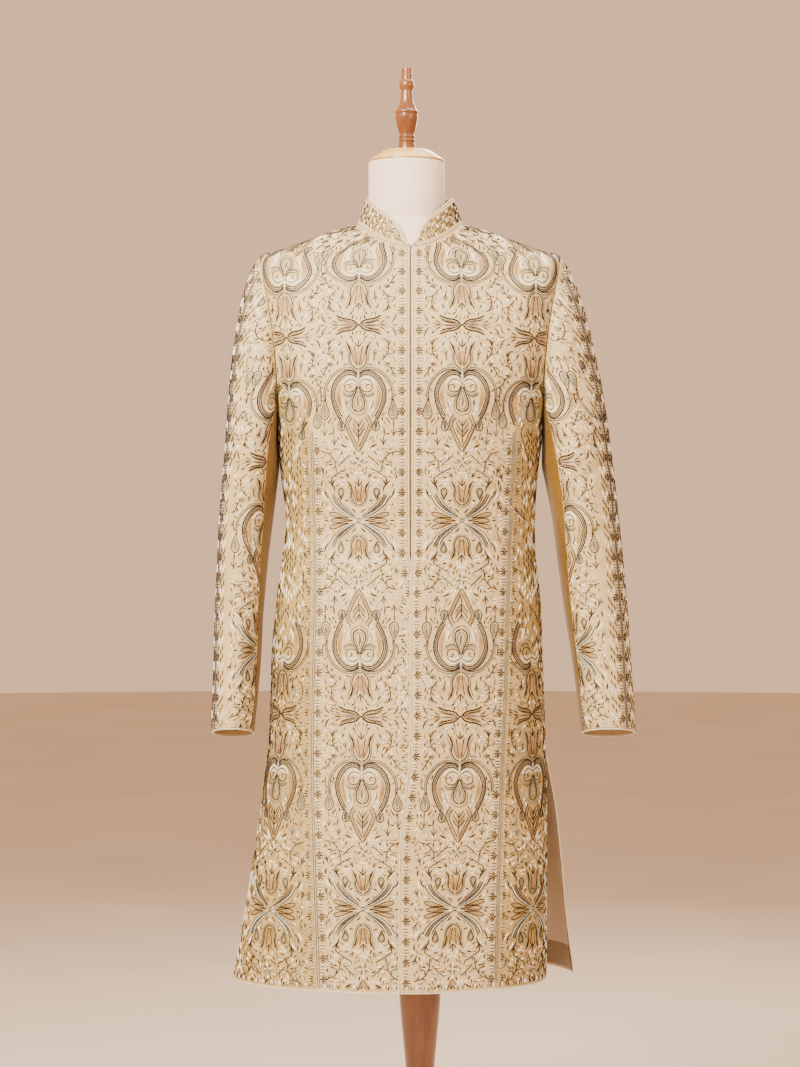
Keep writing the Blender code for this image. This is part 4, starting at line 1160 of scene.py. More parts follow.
class Chart:
    """Finds the point and normal of a surface at pattern coordinates p and v."""

    def __init__(self, surface, firsts, seconds, origin, p_range, v_range):
        first, second = np.meshgrid(firsts, seconds)
        points, _ = surface(first, second)
        rise = points[:-1, :, 2] - points[1:, :, 2]
        slope = np.linalg.norm(points[:-1] - points[1:], axis=-1)
        high = (points[:-1, :, 2] + points[1:, :, 2]) / 2 > SLOPE_START_Z
        gain = np.maximum(np.where(high, (rise + slope) / 2, rise), 1e-7)
        above = np.concatenate((np.cumsum(gain[::-1], axis=0)[::-1],
                                np.zeros((1, len(firsts)))))
        height = points[-1:, :, 2] + above
        levels = np.arange(v_range[0], v_range[1], CHART_STEP)
        second_at = np.stack([np.interp(levels, height[::-1, j], seconds[::-1])
                              for j in range(len(firsts))], axis=1)
        valid = np.stack([(levels < height[0, j]) & (levels > height[-1, j] - CHART_STEP)
                          for j in range(len(firsts))], axis=1)
        level_points, _ = surface(np.broadcast_to(firsts, second_at.shape), second_at)
        steps = np.linalg.norm(np.diff(level_points[..., :2], axis=1), axis=-1)
        good = valid[:, 1:] & valid[:, :-1]
        for row in range(1, len(levels)):
            steps[row] = np.where(good[row], steps[row], steps[row - 1])
        run = np.concatenate((np.zeros((len(levels), 1)), np.cumsum(steps, axis=1)), axis=1)
        start = np.stack([np.interp(origin, firsts, line) for line in run])
        run = run - start[:, None]
        across = np.arange(p_range[0], p_range[1], CHART_STEP)
        self.first = np.stack([np.interp(across, run[k], firsts) for k in range(len(levels))])
        self.second = np.stack([np.interp(across, run[k], second_at[k])
                                for k in range(len(levels))])
        inside = np.stack([np.interp(across, run[k], valid[k].astype(float), 0, 0)
                           for k in range(len(levels))])
        points, normals = surface(self.first, self.second)
        self.layers = np.concatenate((points, normals, inside[..., None]), axis=-1)
        self.levels = levels
        self.across = across

    def read(self, p, v):
        """Point, normal and how far inside the surface, at pattern coordinates."""
        column = np.clip((p - self.across[0]) / CHART_STEP, 0, len(self.across) - 1.001)
        row = np.clip((v - self.levels[0]) / CHART_STEP, 0, len(self.levels) - 1.001)
        j = column.astype(int)
        i = row.astype(int)
        x = (column - j)[..., None]
        y = (row - i)[..., None]
        layers = self.layers
        value = (layers[i, j] * (1 - x) * (1 - y) + layers[i, j + 1] * x * (1 - y)
                 + layers[i + 1, j] * (1 - x) * y + layers[i + 1, j + 1] * x * y)
        return value[..., :3], value[..., 3:6], value[..., 6]

    def border(self, boundary):
        """p of a boundary at every level; boundary gives the first coordinate there."""
        off = self.first - boundary(self.second)
        return np.array([np.interp(0, line, self.across) for line in off])

    def border_at(self, line, v):
        return np.interp(v, self.levels, line)


# Drawing units: one unit is this many metres.  A stroke is its thread, style, half width in
# millimetres and points.  Styles: cord (even), bead (knotted cord) and leaf (swelling).
# Two thread names with a bar between them are the stroke's two sides: over the stroke's own
# thread colours, the lighter side is a painted highlight and the darker side painted shade.

UNIT = 0.001361
HALF_REPEAT = 195.4
THREADS = ("bronze", "silver", "gold", "green", "rose", "lilac", "cream")


def spline(points, count):
    """Smooth line through a few points."""
    points = np.asarray(points, dtype=float)
    steps = np.concatenate(((0,), np.cumsum(np.linalg.norm(np.diff(points, axis=0), axis=1))))
    at = np.linspace(0, steps[-1], count)
    return np.stack((curve(steps, points[:, 0], at), curve(steps, points[:, 1], at)), axis=1)


def ring_line(a, d, radius, start=0.0, end=360.0, turns=12):
    angle = np.radians(np.linspace(start, end, turns + 1))
    return np.stack((a + radius * np.cos(angle), d + radius * np.sin(angle)), axis=1)


def drop_line(tip, foot, half):
    """Closed outline of a drop from its pointed tip round its foot."""
    tip = np.array(tip, dtype=float)
    foot = np.array(foot, dtype=float)
    run = foot - tip
    side = np.array((-run[1], run[0])) / np.hypot(*run) * half
    rows = ((0, 0), (0.30, 0.42), (0.55, 0.88), (0.76, 1.0), (0.93, 0.62), (1, 0),
            (0.93, -0.62), (0.76, -1.0), (0.55, -0.88), (0.30, -0.42), (0, 0))
    return np.array([tip + run * along + side * across for along, across in rows])


def leaf_pair(a, d, angle, size, thread, half=0.85, spread=32.0):
    """Three small leaves from one foot."""
    made = []
    for turn, share in ((-spread, 0.78), (0, 1.0), (spread, 0.78)):
        way = math.radians(angle + turn)
        tip = (a + size * share * math.cos(way), d + size * share * math.sin(way))
        made.append((thread, "leaf", half, np.array(((a, d), ((a + tip[0]) / 2, (d + tip[1]) / 2),
                                                     tip))))
    return made


def bud(a, d, angle, size, thread="bronze", stem=0.0):
    """A flower bud: three petals from a dark foot, and a short stem below it."""
    way = np.array((math.cos(math.radians(angle)), math.sin(math.radians(angle))))
    foot = np.array((a, d))
    made = leaf_pair(a, d, angle, size, thread, 0.8, 34)
    made.append(("bronze", "leaf", 0.9, np.array((foot - way * 1.4, foot, foot + way * 1.4))))
    if stem:
        made.append(("bronze", "cord", 0.35, np.array((foot, foot - way * stem * 0.5,
                                                       foot - way * stem))))
    return made


def vine(points, thread, leaf_thread, spacing=4.6, size=5.0, half=1.0):
    """A thin stem with leaves on alternate sides."""
    line = spline(points, 40)
    made = [(thread, "cord", 0.38, line[::3])]
    run = np.concatenate(((0,), np.cumsum(np.linalg.norm(np.diff(line, axis=0), axis=1))))
    count = max(int(run[-1] / spacing), 1)
    for k in range(count):
        at = (k + 0.6) * run[-1] / count
        here = np.array([np.interp(at, run, line[:, i]) for i in range(2)])
        ahead = np.array([np.interp(at + 0.5, run, line[:, i]) for i in range(2)])
        run_on = math.degrees(math.atan2(*(ahead - here)[::-1]))
        way = math.radians(run_on + (42 if k % 2 else -42))
        tip = here + size * np.array((math.cos(way), math.sin(way)))
        made.append((leaf_thread, "leaf", half, np.array((here, (here + tip) / 2, tip))))
    return made


def tulip(foot, top, half, petal="rose"):
    """Tulip on the column's middle line: a dark knotted outline round two-tone petals."""
    tall = foot - top

    def at(a, share):
        return (a * half / 12, foot - tall * share)

    sides = [
        ("bronze", "bead", 0.66, (at(0.3, 0), at(5.4, 0.10), at(8.4, 0.36), at(8.4, 0.66),
                                  at(12.6, 1.0))),
        ("silver", "cord", 0.30, (at(0.3, -0.07), at(6.4, 0.02), at(10, 0.30), at(10.2, 0.60),
                                  at(13.2, 0.86))),
        (petal, "leaf", 1.9, (at(1.8, 0.10), at(5.2, 0.44), at(8.0, 0.88))),
        ("bronze", "cord", 0.32, (at(3.0, 0.14), at(6.4, 0.5), at(9.8, 0.92))),
        ("bronze", "cord", 0.30, (at(1.2, 0.12), at(2.7, 0.5), at(4.4, 0.84))),
        (petal, "leaf", 1.1, (at(0.8, 0.20), at(2.0, 0.52), at(3.2, 0.82))),
    ]
    middle = [
        (petal, "leaf", 1.6, (at(0, 0.08), at(0, 0.40), at(0, 0.74))),
        ("bronze", "cord", 0.34, (at(0, 0.22), at(0, 0.45), at(0, 0.62))),
    ]
    middle.extend(leaf_pair(0, foot - tall * 0.78, -90, 8.6, "bronze", 0.72, 38))
    return sides, middle


def heart_strokes():
    sides = [
        ("silver", "cord", 0.60, ((0.3, 46.4), (9.8, 42.8), (20.5, 45.1), (28.9, 52),
                                  (33.9, 60.4), (35.6, 68), (35.0, 76))),
        ("bronze", "cord", 0.38, ((0.3, 48.4), (9.8, 44.8), (19.8, 47), (27.4, 53.4),
                                  (32.2, 61), (33.8, 68), (33.4, 76))),
        ("bronze", "bead", 0.80, ((0.4, 50.4), (6, 46.4), (14.4, 47.2), (22.8, 54.6),
                                  (27.3, 65), (27.3, 74.4), (24.2, 85), (19.6, 94.4))),
        ("lilac", "cord", 0.72, ((0.5, 52.2), (6, 48.2), (13.8, 49), (21.4, 56), (25.6, 65.6),
                                 (25.6, 74.2), (22.5, 84.4), (18, 93.4))),
        ("bronze", "bead", 0.66, ((0.7, 54), (6, 50.2), (13, 50.8), (19.8, 57.2), (23.8, 66),
                                  (23.8, 74), (20.8, 83.6), (16.4, 92.4))),
        ("bronze", "cord", 0.55, drop_line((18.6, 92), (17.2, 106), 3.5)),
        ("lilac", "leaf", 1.9, ((18.2, 95.5), (17.6, 100), (17.2, 105))),
        ("silver", "cord", 0.50, ring_line(13.6, 103.6, 1.8, 20, 330, 7)),
        ("bronze", "cord", 0.50, drop_line((34.4, 74), (35.2, 94.4), 4.6)),
        ("silver", "cord", 0.50, drop_line((34.6, 79), (35.1, 91.6), 2.8)),
        ("green|lilac", "leaf", 1.3, ((34.7, 82), (35, 86), (35.1, 90.4))),
        ("gold|rose", "leaf", 2.3, ((18.8, 59), (20.6, 71), (16.8, 87))),
        ("cream", "cord", 0.60, ((1.0, 55.6), (6, 52.6), (12, 53.8), (16.6, 59.6))),
        ("silver", "cord", 0.50, ((1.2, 57.6), (6, 54.6), (11, 55.8), (15, 60.6))),
        ("cream", "cord", 0.60, ((1.4, 59.8), (5.6, 56.8), (9.8, 57.8), (12.6, 61))),
        ("bronze", "cord", 0.50, ((1.4, 62), (4.4, 66), (9, 67.4), (13.4, 65.4), (13.8, 61.4),
                                  (10.4, 59.6), (7.6, 61.6), (9.2, 64))),
        ("silver", "cord", 0.55, ((3.0, 66), (6.6, 69.4), (11.4, 69.8), (15.8, 66.6))),
        ("bronze", "cord", 0.40, ((4.4, 69.4), (8, 71.6), (12, 71.6), (16.4, 68.6))),
        ("silver|cream", "leaf", 1.5, ((14.2, 73.6), (13.6, 79), (10.6, 86.6))),
        ("bronze", "bead", 0.74, ((0.3, 61.6), (3.2, 69), (6.1, 77), (5.2, 84), (0.3, 87.2))),
        ("silver", "cord", 0.50, ((0.3, 66), (2.4, 72), (4.0, 78), (3.3, 82), (0.3, 84.4))),
        ("silver", "cord", 0.42, ((0.6, 58), (4.9, 68.4), (8.4, 78), (6.9, 87), (0.3, 90.6))),
        ("bronze", "cord", 0.46, ((8.8, 89), (13.2, 98), (12, 104), (6.2, 117), (0.3, 127.6))),
        ("rose", "cord", 0.62, ((7.6, 90.6), (11.6, 98.2), (10.5, 104), (5.3, 115.4),
                                (0.3, 124.8))),
        ("bronze", "cord", 0.40, ((6.2, 92.4), (10, 98.6), (9, 103.6), (4.4, 113.8),
                                  (0.3, 122))),
        ("bronze", "cord", 0.50, ((6.4, 97), (3.4, 102.4), (0.2, 107))),
        ("rose", "cord", 0.50, ((6.6, 100), (3.6, 105.2), (0.2, 109.6))),
        ("bronze", "cord", 0.50, ((6.4, 103.4), (3.4, 108), (0.2, 112))),
        ("bronze", "cord", 0.42, ((4.6, 94), (2.4, 98), (0.2, 101.6))),
    ]
    middle = [
        ("rose|lilac", "leaf", 1.7, ((0, 70), (0, 76.6), (0, 82.6))),
        ("cream", "leaf", 0.8, ((0, 48), (0, 51), (0, 55))),
        ("bronze", "cord", 0.46, ((0, 119), (0, 107), (0, 96))),
    ]
    return sides, middle


def flower_strokes(d, size=6.2):
    made = []
    for k in range(8):
        way = math.radians(k * 45 + 22.5)
        tip = np.array((math.cos(way), math.sin(way))) * size
        made.append(("bronze|cream" if k % 2 else "green|bronze", "leaf", 1.15,
                     np.array((tip * 0.22 + (0, d), tip * 0.6 + (0, d), tip + (0, d)))))
    return made


SPRAY = ((0.8, 0.8), (9, 5.6), (17, 10.8), (24, 17.2), (28.6, 26))
SPRAY_LINES = (("bronze", 0.46, -3.2), ("cream", 0.46, -1.7), ("bronze", 0.50, -0.2),
               ("silver", 0.46, 1.3), ("bronze", 0.46, 2.8), ("cream|rose", 0.46, 4.4),
               ("bronze", 0.46, 5.8))
SIDE_LEAVES = ((13, 10, 32, 2.1),)


def spray_strokes():
    """One arm of the crossed sprays: lines that part and curl away together."""
    line = spline(SPRAY, 9)
    run = np.gradient(line, axis=0)
    run = run / np.linalg.norm(run, axis=1, keepdims=True)
    aside = np.stack((-run[:, 1], run[:, 0]), axis=1)
    part = (0.16 + 0.84 * np.linspace(0, 1, 9) ** 0.8)[:, None]
    made = []
    for thread, half, off in SPRAY_LINES:
        points = (line + aside * part * off)[int(abs(off) > 2.6):9 - int(abs(off) > 4)]
        made.append((thread, "cord", half, np.stack((points[:, 0], HALF_REPEAT - points[:, 1]),
                                                    axis=1)))
    return made


def cross_strokes():
    """The crossed sprays, seen from their middle at the end of the half repeat."""
    e = HALF_REPEAT
    sides = spray_strokes()
    for angle, start, end, half in SIDE_LEAVES:
        way = np.array((math.cos(math.radians(angle)), -math.sin(math.radians(angle))))
        foot, tip = (np.array((0, e)) + way * reach for reach in (start, end))
        sides.append(("bronze", "cord", 0.46, drop_line(tuple(foot), tuple(tip), half)))
        sides.append(("rose|gold", "leaf", 0.9, (foot * 0.85 + tip * 0.15,
                                                 foot * 0.5 + tip * 0.5,
                                                 foot * 0.1 + tip * 0.9)))
    sides.extend([
        ("bronze", "cord", 0.56, drop_line((18.4, e - 20.4), (18.2, e - 32.4), 3.1)),
        ("silver", "cord", 0.46, drop_line((18.4, e - 23), (18.2, e - 30.8), 1.7)),
        ("silver|cream", "cord", 0.50, ring_line(12.6, e - 15.4, 1.8, 40, 330, 8)),
        ("bronze", "leaf", 0.9, ((31.4, e - 22), (34.6, e - 26.4), (36.4, e - 32))),
        ("cream", "leaf", 0.9, ((33.6, e - 20.6), (37, e - 24), (38.8, e - 29))),
        ("bronze", "leaf", 0.85, ((24.6, e - 28.6), (25.6, e - 33.4), (28.8, e - 37.6))),
        ("cream|rose", "leaf", 0.85, ((27.8, e - 30.6), (30, e - 35), (33.6, e - 38))),
        ("bronze", "leaf", 0.80, ((2.4, e - 6.8), (4.4, e - 9.6), (7.6, e - 11.8))),
        ("rose", "leaf", 0.80, ((9, e - 11.2), (11.8, e - 13), (12.4, e - 12.6))),
    ])
    once = [
        ("bronze", "cord", 0.46, drop_line((6, e), (29, e), 2.1)),
        ("gold|rose", "leaf", 0.8, ((8, e), (17, e), (26.6, e))),
        ("bronze", "leaf", 0.8, ((31.4, e), (33.8, e), (36.4, e))),
    ]
    knot = [("bronze", "cord", 0.62, ring_line(0, e, 1.9, 0, 350, 10)),
            ("cream", "leaf", 0.8, ((-0.9, e), (0, e), (0.9, e)))]
    return sides, once, knot
def bow_strokes():
    """The bow of two sideways tulips, seen from its middle at the start of the repeat."""
    sides = [
        ("bronze", "bead", 0.95, ((1.4, 0.2), (4.2, 3.6), (9, 5.6), (15.6, 6.6), (23, 9.8))),
        ("bronze", "cord", 0.40, ((3.0, 0.4), (9, 3.2), (16.6, 4.6), (22.4, 7.0))),
        ("rose|bronze", "leaf", 1.5, ((4, 1.4), (12, 3.2), (21, 4.6))),
        ("bronze", "leaf", 0.7, ((20.4, 1.4), (23.6, 3.0), (27, 5.2))),
        ("rose", "leaf", 0.9, ((22.6, 0.8), (27, 1.6), (31.2, 2.4))),
        ("bronze|silver", "leaf", 1.0, ((32.4, 2.0), (36.0, 6.0), (38.0, 12.4))),
    ]
    once = [("rose|lilac", "leaf", 1.5, ((3.4, 0), (12, 0), (21, 0))),
            ("bronze", "leaf", 0.6, ((19, 0), (23, 0), (27.4, 0))),
            ("rose|bronze", "leaf", 0.9, ((33.4, 0), (36, 0), (39.2, 0)))]
    knot = [("bronze", "cord", 0.55, ((-2.4, -1.5), (0, 0), (2.4, 1.5))),
            ("bronze", "cord", 0.55, ((-2.4, 1.5), (0, 0), (2.4, -1.5)))]
    return sides, once, knot


VINES = (
    (((23, 36), (28.4, 30), (30.4, 23), (27.6, 14)), "rose|bronze"),
    (((30, 40), (34, 46), (38.6, 53)), "green|bronze"),
    (((39, 126), (30, 129.4), (24.4, 137), (23, 147)), "rose|bronze"),
    (((21, 141), (14.4, 134.6), (8.6, 130)), "bronze|cream"),
    (((28.4, 153), (20, 147.4), (12, 143.4)), "bronze|cream"),
    (((38, 60), (39, 66), (38, 72)), "rose|bronze"),
)
BUDS = (
    (30, 19.5, -95, 5.0, "rose|bronze", 0.0),
    (16.4, 30, -82, 6.4, "bronze|rose", 6.0),
    (30.4, 39, 165, 6.4, "bronze|rose", 0.0),
    (35.4, 110, -90, 8.4, "bronze|rose", 0.0),
    (25, 119, -88, 8.0, "bronze|silver", 0.0),
    (27.6, 160, -84, 8.2, "bronze", 0.0),
    (37.4, 147, -70, 6.6, "silver|bronze", 4.0),
    (38.6, 180, -70, 6.4, "rose|bronze", 4.0),
    (10.6, 151.6, -60, 5.0, "rose|bronze", 0.0),
)
DASHES = (
    (19, 19, 60, 3.0, "bronze|silver"), (21, 38, 75, 2.8, "silver|bronze"),
    (35.6, 98.6, 90, 4.2, "green|bronze"), (26, 106, 85, 5.0, "silver|bronze"),
    (15.2, 121, -28, 4.0, "bronze"), (12.6, 113, -50, 3.0, "rose|bronze"),
    (39, 158, 80, 3.6, "bronze"), (20, 134, 35, 3.4, "cream|bronze"),
    (36.6, 34, 70, 3.6, "cream|bronze"), (13.4, 12.6, 35, 3.4, "cream|bronze"),
    (12.4, 40, 20, 3.0, "rose|bronze"), (31.6, 137, 15, 3.4, "green|bronze"),
)
SWIRLS = ((34, 118.6, 3.2), (22, 25, 2.0), (32.8, 168, 2.2))
def vines_strokes():
    """Vines, buds and curls between the large motifs, right of the column's middle line."""
    made = []
    for points, leaf_thread in VINES:
        made.extend(vine(points, "bronze", leaf_thread, 4.4, 5.4, 0.95))
    for a, d, angle, size, thread, stem in BUDS:
        made.extend(bud(a, d, angle, size, thread, stem))
    for a, d, angle, reach, thread in DASHES:
        step = np.array((math.cos(math.radians(angle)), math.sin(math.radians(angle)))) * reach
        here = np.array((a, d))
        made.append((thread, "leaf", 1.0, np.array((here - step, here, here + step))))
    for a, d, radius in SWIRLS:
        made.append(("silver|cream", "cord", 0.46, ring_line(a, d, radius, 40, 330, 8)))
    return made


# Cream fillers are painted glints in the ground, and the bar pairs paint a highlight side and a
# shade side on each leaf.
FILL_THREADS = ("cream", "bronze|rose", "bronze|cream", "cream", "bronze", "rose|bronze",
                "gold|bronze")
def fill_strokes(strokes, seed, reach=39.0, spacing=4.7, clear=2.6):
    """Small leaves in the free ground of one half column, away from the other strokes."""
    taken = np.concatenate([spline(s[3], max(int(len(s[3]) * 4), 8)) for s in strokes])
    rng = np.random.default_rng(seed)
    made = []
    rows = int(HALF_REPEAT / (spacing * 0.866))
    for i in range(rows + 1):
        for j in range(int(reach / spacing) + 1):
            a = (j + 0.5 * (i % 2)) * spacing + rng.uniform(-0.9, 0.9) + 1.6
            d = i * spacing * 0.866 + rng.uniform(-0.9, 0.9)
            if not (1.6 < a < reach and 1.5 < d < HALF_REPEAT - 1.5):
                continue
            gap = np.hypot(taken[:, 0] - a, taken[:, 1] - d).min()
            if gap < clear:
                continue
            way = math.radians(70 * math.sin(a * 0.16 + d * 0.05) + rng.uniform(-40, 40) + 60)
            thread = FILL_THREADS[rng.integers(len(FILL_THREADS))]
            step = np.array((math.cos(way), math.sin(way))) * 2.3
            middle = np.array((a, d))
            made.append((thread, "leaf", 0.8, np.array((middle - step, middle,
                                                        middle + step))))
    return made


def half_repeat(seed=5, spacing=4.5, clear=2.5):
    """Strokes of a half repeat: all of it, once at each bow and once at each cross."""
    sides, middle = heart_strokes()
    for foot, top, half, petal in ((44.5, 16.5, 12, "rose"), (180, 156, 10.5, "gold|rose")):
        more, centre = tulip(foot, top, half, petal)
        sides = sides + more
        middle = middle + centre
    middle = middle + flower_strokes(137)
    middle.append(("cream", "leaf", 1.2, ((0, 127.4), (0, 129), (0, 130.4))))
    cross_sides, cross_once, cross_knot = cross_strokes()
    bow_sides, bow_once, bow_knot = bow_strokes()
    sides = sides + cross_sides + bow_sides + vines_strokes()
    sides = [(t, s, w, np.asarray(p, dtype=float)) for t, s, w, p in sides]
    middle = [(t, s, w, np.asarray(p, dtype=float)) for t, s, w, p in middle]
    everything = sides + middle + [(t, s, w, np.asarray(p, float)) for t, s, w, p
                                   in cross_once + bow_once]
    sides = sides + fill_strokes(everything, seed, 39.0, spacing, clear)
    mirrored = [(t, s, w, p * np.array((-1, 1))) for t, s, w, p in sides]

    def both(rows):
        rows = [(t, s, w, np.asarray(p, dtype=float)) for t, s, w, p in rows]
        return rows + [(t, s, w, p * np.array((-1, 1))) for t, s, w, p in rows]

    at_cross = both(cross_once) + [(t, s, w, np.asarray(p, float)) for t, s, w, p in cross_knot]
    at_bow = both(bow_once) + [(t, s, w, np.asarray(p, float)) for t, s, w, p in bow_knot]
    return sides + mirrored + middle, at_bow, at_cross


# Placing strokes on a chart

PLAIN_STEP = 0.0026
BEAD_STEP = 0.0015
EDGE_SINK = 0.00018
CREST = {"cord": 0.0011, "bead": 0.0016, "leaf": 0.0012}
THICKER = 1.5
THINNEST = 0.50


def placed(strokes, p0, v0, scale=1.0, flip=False):
    """Strokes in metres on a chart.  d runs down from v0, or up where flip is set."""
    made = []
    for thread, style, half, points in strokes:
        points = np.asarray(points, dtype=float) * UNIT * scale
        way = 1.0 if flip else -1.0
        made.append((thread, style, max(half, THINNEST) * THICKER * 0.001,
                     np.stack((p0 + points[:, 0], v0 + way * points[:, 1]), axis=1)))
    return made


def resampled(style, half, points):
    """Even points along a stroke with their half widths and crest heights."""
    length = np.linalg.norm(np.diff(points, axis=0), axis=1).sum()
    step = BEAD_STEP if style == "bead" else PLAIN_STEP
    count = max(int(length / step) + 1, 3 if style == "cord" else 4)
    line = spline(points, count)
    share = np.linspace(0, 1, count)
    crest = np.full(count, CREST[style])
    if style == "leaf":
        width = half * np.sin(math.pi * np.clip(share, 0.03, 0.97)) ** 0.75
        crest = crest * (0.45 + 0.55 * np.sin(math.pi * share))
    else:
        ends = np.minimum(share, 1 - share) * length
        width = half * np.clip(0.35 + ends / (2.2 * half), 0, 1)
        if style == "bead":
            knot = np.where(np.arange(count) % 2 == 0, 1.0, 0.62)
            width = width * (0.25 + 0.75 * knot) * 1.12
            crest = crest * (0.35 + 0.65 * (knot - 0.62) / 0.38)
    return line, width, crest


def ribbon_mesh(name, strokes, chart, inside, materials):
    """All strokes as raised ribbons on a chart, cut where inside says no."""
    lines = []
    widths = []
    crests = []
    lengths = []
    threads = []
    for thread, style, half, points in strokes:
        line, width, crest = resampled(style, half, points)
        lines.append(line)
        widths.append(width)
        crests.append(crest)
        lengths.append(len(line))
        # A bar pair puts painted highlight on the lighter half of the ribbon and painted shade on
        # the darker half.
        pair = thread.split("|")
        threads.append((THREADS.index(pair[0]), THREADS.index(pair[-1])))
    line = np.concatenate(lines)
    width = np.concatenate(widths)
    crest = np.concatenate(crests)
    owner = np.repeat(np.arange(len(lengths)), lengths)
    first = np.concatenate(((True,), owner[1:] != owner[:-1]))
    last = np.concatenate((owner[1:] != owner[:-1], (True,)))
    ahead = np.where(last[:, None], line, np.roll(line, -1, axis=0))
    behind = np.where(first[:, None], line, np.roll(line, 1, axis=0))
    run = ahead - behind
    run = run / np.maximum(np.linalg.norm(run, axis=1, keepdims=True), 1e-9)
    aside = np.stack((-run[:, 1], run[:, 0]), axis=1) * width[:, None]
    good = inside(line[:, 0], line[:, 1], width)
    rows = []
    for share, height in ((-1, None), (0, 1), (1, None)):
        at = line + aside * share
        point, normal, _ = chart.read(at[:, 0], at[:, 1])
        lift = crest[:, None] if height else -EDGE_SINK
        rows.append(point + normal * lift)
    points = np.stack(rows, axis=1).reshape(-1, 3)
    here = np.flatnonzero(good[:-1] & good[1:] & ~last[:-1])
    start = here[:, None] * 3
    left = start + np.array((0, 3, 4, 1))
    right = start + np.array((1, 4, 5, 2))
    faces = np.concatenate((left, right))
    pairs = np.array(threads)[owner[here]]
    marks = np.concatenate((pairs[:, 0], pairs[:, 1]))
    used = np.unique(faces)
    renumber = np.zeros(len(points), dtype=np.int64)
    renumber[used] = np.arange(len(used))
    faces = renumber[faces]
    points = points[used]
    corner = points[faces[0]]
    facing = np.cross(corner[1] - corner[0], corner[3] - corner[0])
    _, normal, _ = chart.read(line[here[0], 0], line[here[0], 1])
    if np.dot(facing, normal) < 0:
        faces = faces[:, ::-1]
    data = mesh_of(name, points, faces, marks, angle=None)
    return link(name, data, materials)


BOW_LEVELS = (1.8920, 1.3598, 0.8277, 0.2956)
COLUMN_PLACES = (0.0705, 0.1750, 0.2760)


# How far the outer columns of the fronts hang below the first one, by height
SAG_Z = (1.00, 1.20, 1.34, 1.46)
SAG = (0.0, 0.010, 0.016, 0.012)


def sagged(strokes):
    return [(t, s, w, pts - np.stack((np.zeros(len(pts)), curve(SAG_Z, SAG, np.clip(
        pts[:, 1], SAG_Z[0], SAG_Z[-1]))), axis=1)) for t, s, w, pts in strokes]


# How far each column leans out, and how much it is raised, at heights up the coat
LEAN_Z = (0.50, 0.70, 1.00, 1.30)
LEAN = {"right": ((-0.0070, -0.0055, 0.0, 0.0), (0.030, 0.028, 0.012, 0.0),
                  (0.040, 0.036, 0.012, 0.0)),
        "left": ((-0.0130, -0.0035, 0.0, 0.0), (0.012, 0.012, 0.008, 0.0),
                 (0.020, 0.018, 0.008, 0.0))}
RAISE_Z = (0.44, 0.50, 0.58, 0.73)
RAISE = (0.006, 0.0090, 0.0078, 0.0)


def leaning(strokes, side, column):
    """A column that follows the flare of the skirt."""
    made = []
    for thread, style, half, points in strokes:
        out = np.interp(points[:, 1], LEAN_Z, LEAN[side][column])
        up = np.interp(points[:, 1], RAISE_Z, RAISE) if column == 0 else 0.0
        made.append((thread, style, half, points + np.stack((out, out * 0 + up), axis=1)))
    return made


def column_strokes(p0, levels, low, high, repeat=1.0):
    """One embroidered column: half repeats down and up from each bow."""
    half, at_bow, at_cross = HALF_STROKES
    tall = HALF_REPEAT * UNIT * repeat
    made = []
    for level in levels:
        for flip in (False, True):
            top = level + tall if flip else level
            if top < low or top - tall > high:
                continue
            made.extend(placed(half, p0, level, repeat, flip))
        if low < level < high:
            made.extend(placed(at_bow, p0, level, repeat))
        if low < level - tall < high:
            made.extend(placed(at_cross, p0, level, repeat))
    return made


GROUND_CELL = 0.0012
GROUND_Z = (0.46, 0.84, 1.02, 1.30)
GROUND_SHARE = (1.0, 1.0, 0.5, 0.3)
# Cream ground leaves are painted glints, and the bar pairs paint a highlight side and a shade side
# on each leaf.
GROUND_THREADS = ("bronze", "cream", "bronze|rose", "cream", "rose|bronze", "bronze",
                  "cream|gold", "gold|bronze")


def ground_leaves(strokes, p_span, v_span, spacing, seed, share=GROUND_SHARE):
    """Small leaves in the ground that all the other strokes leave free."""
    rng = np.random.default_rng(seed)
    size = tuple(int((high - low) / GROUND_CELL) + 8 for low, high in (p_span, v_span))
    taken = np.zeros(size, dtype=bool)

    def cells(points):
        at = ((points - (p_span[0], v_span[0])) / GROUND_CELL).astype(int) + 3
        return at[((at >= 1) & (at < np.array(size) - 1)).all(axis=1)]

    for _, _, _, points in strokes:
        length = np.linalg.norm(np.diff(points, axis=0), axis=1).sum()
        at = cells(spline(points, max(int(length / GROUND_CELL) + 2, 3)))
        taken[at[:, 0], at[:, 1]] = True
    wide = taken.copy()
    for axis in (0, 1):
        wide = wide | np.roll(wide, 1, axis) | np.roll(wide, -1, axis)
    made = []
    for i, v in enumerate(np.arange(v_span[0], v_span[1], spacing * 0.866)):
        for p in np.arange(p_span[0] + spacing * 0.5 * (i % 2), p_span[1], spacing):
            jitter = rng.uniform(-0.0008, 0.0008, 2)
            turn = rng.uniform(-40, 40)
            thread = GROUND_THREADS[rng.integers(len(GROUND_THREADS))]
            keep = rng.uniform() < np.interp(v, GROUND_Z, share)
            way = math.radians(60 + 70 * math.sin(abs(p) * 118 + v * 37) + turn)
            middle = np.array((p, v)) + jitter
            reach = np.array((math.cos(way), math.sin(way))) * 0.0032
            points = np.array((middle - reach, middle, middle + reach))
            at = cells(points)
            if keep and len(at) == 3 and not wide[at[:, 0], at[:, 1]].any():
                made.append((thread, "leaf", 0.00120, points))
    return made
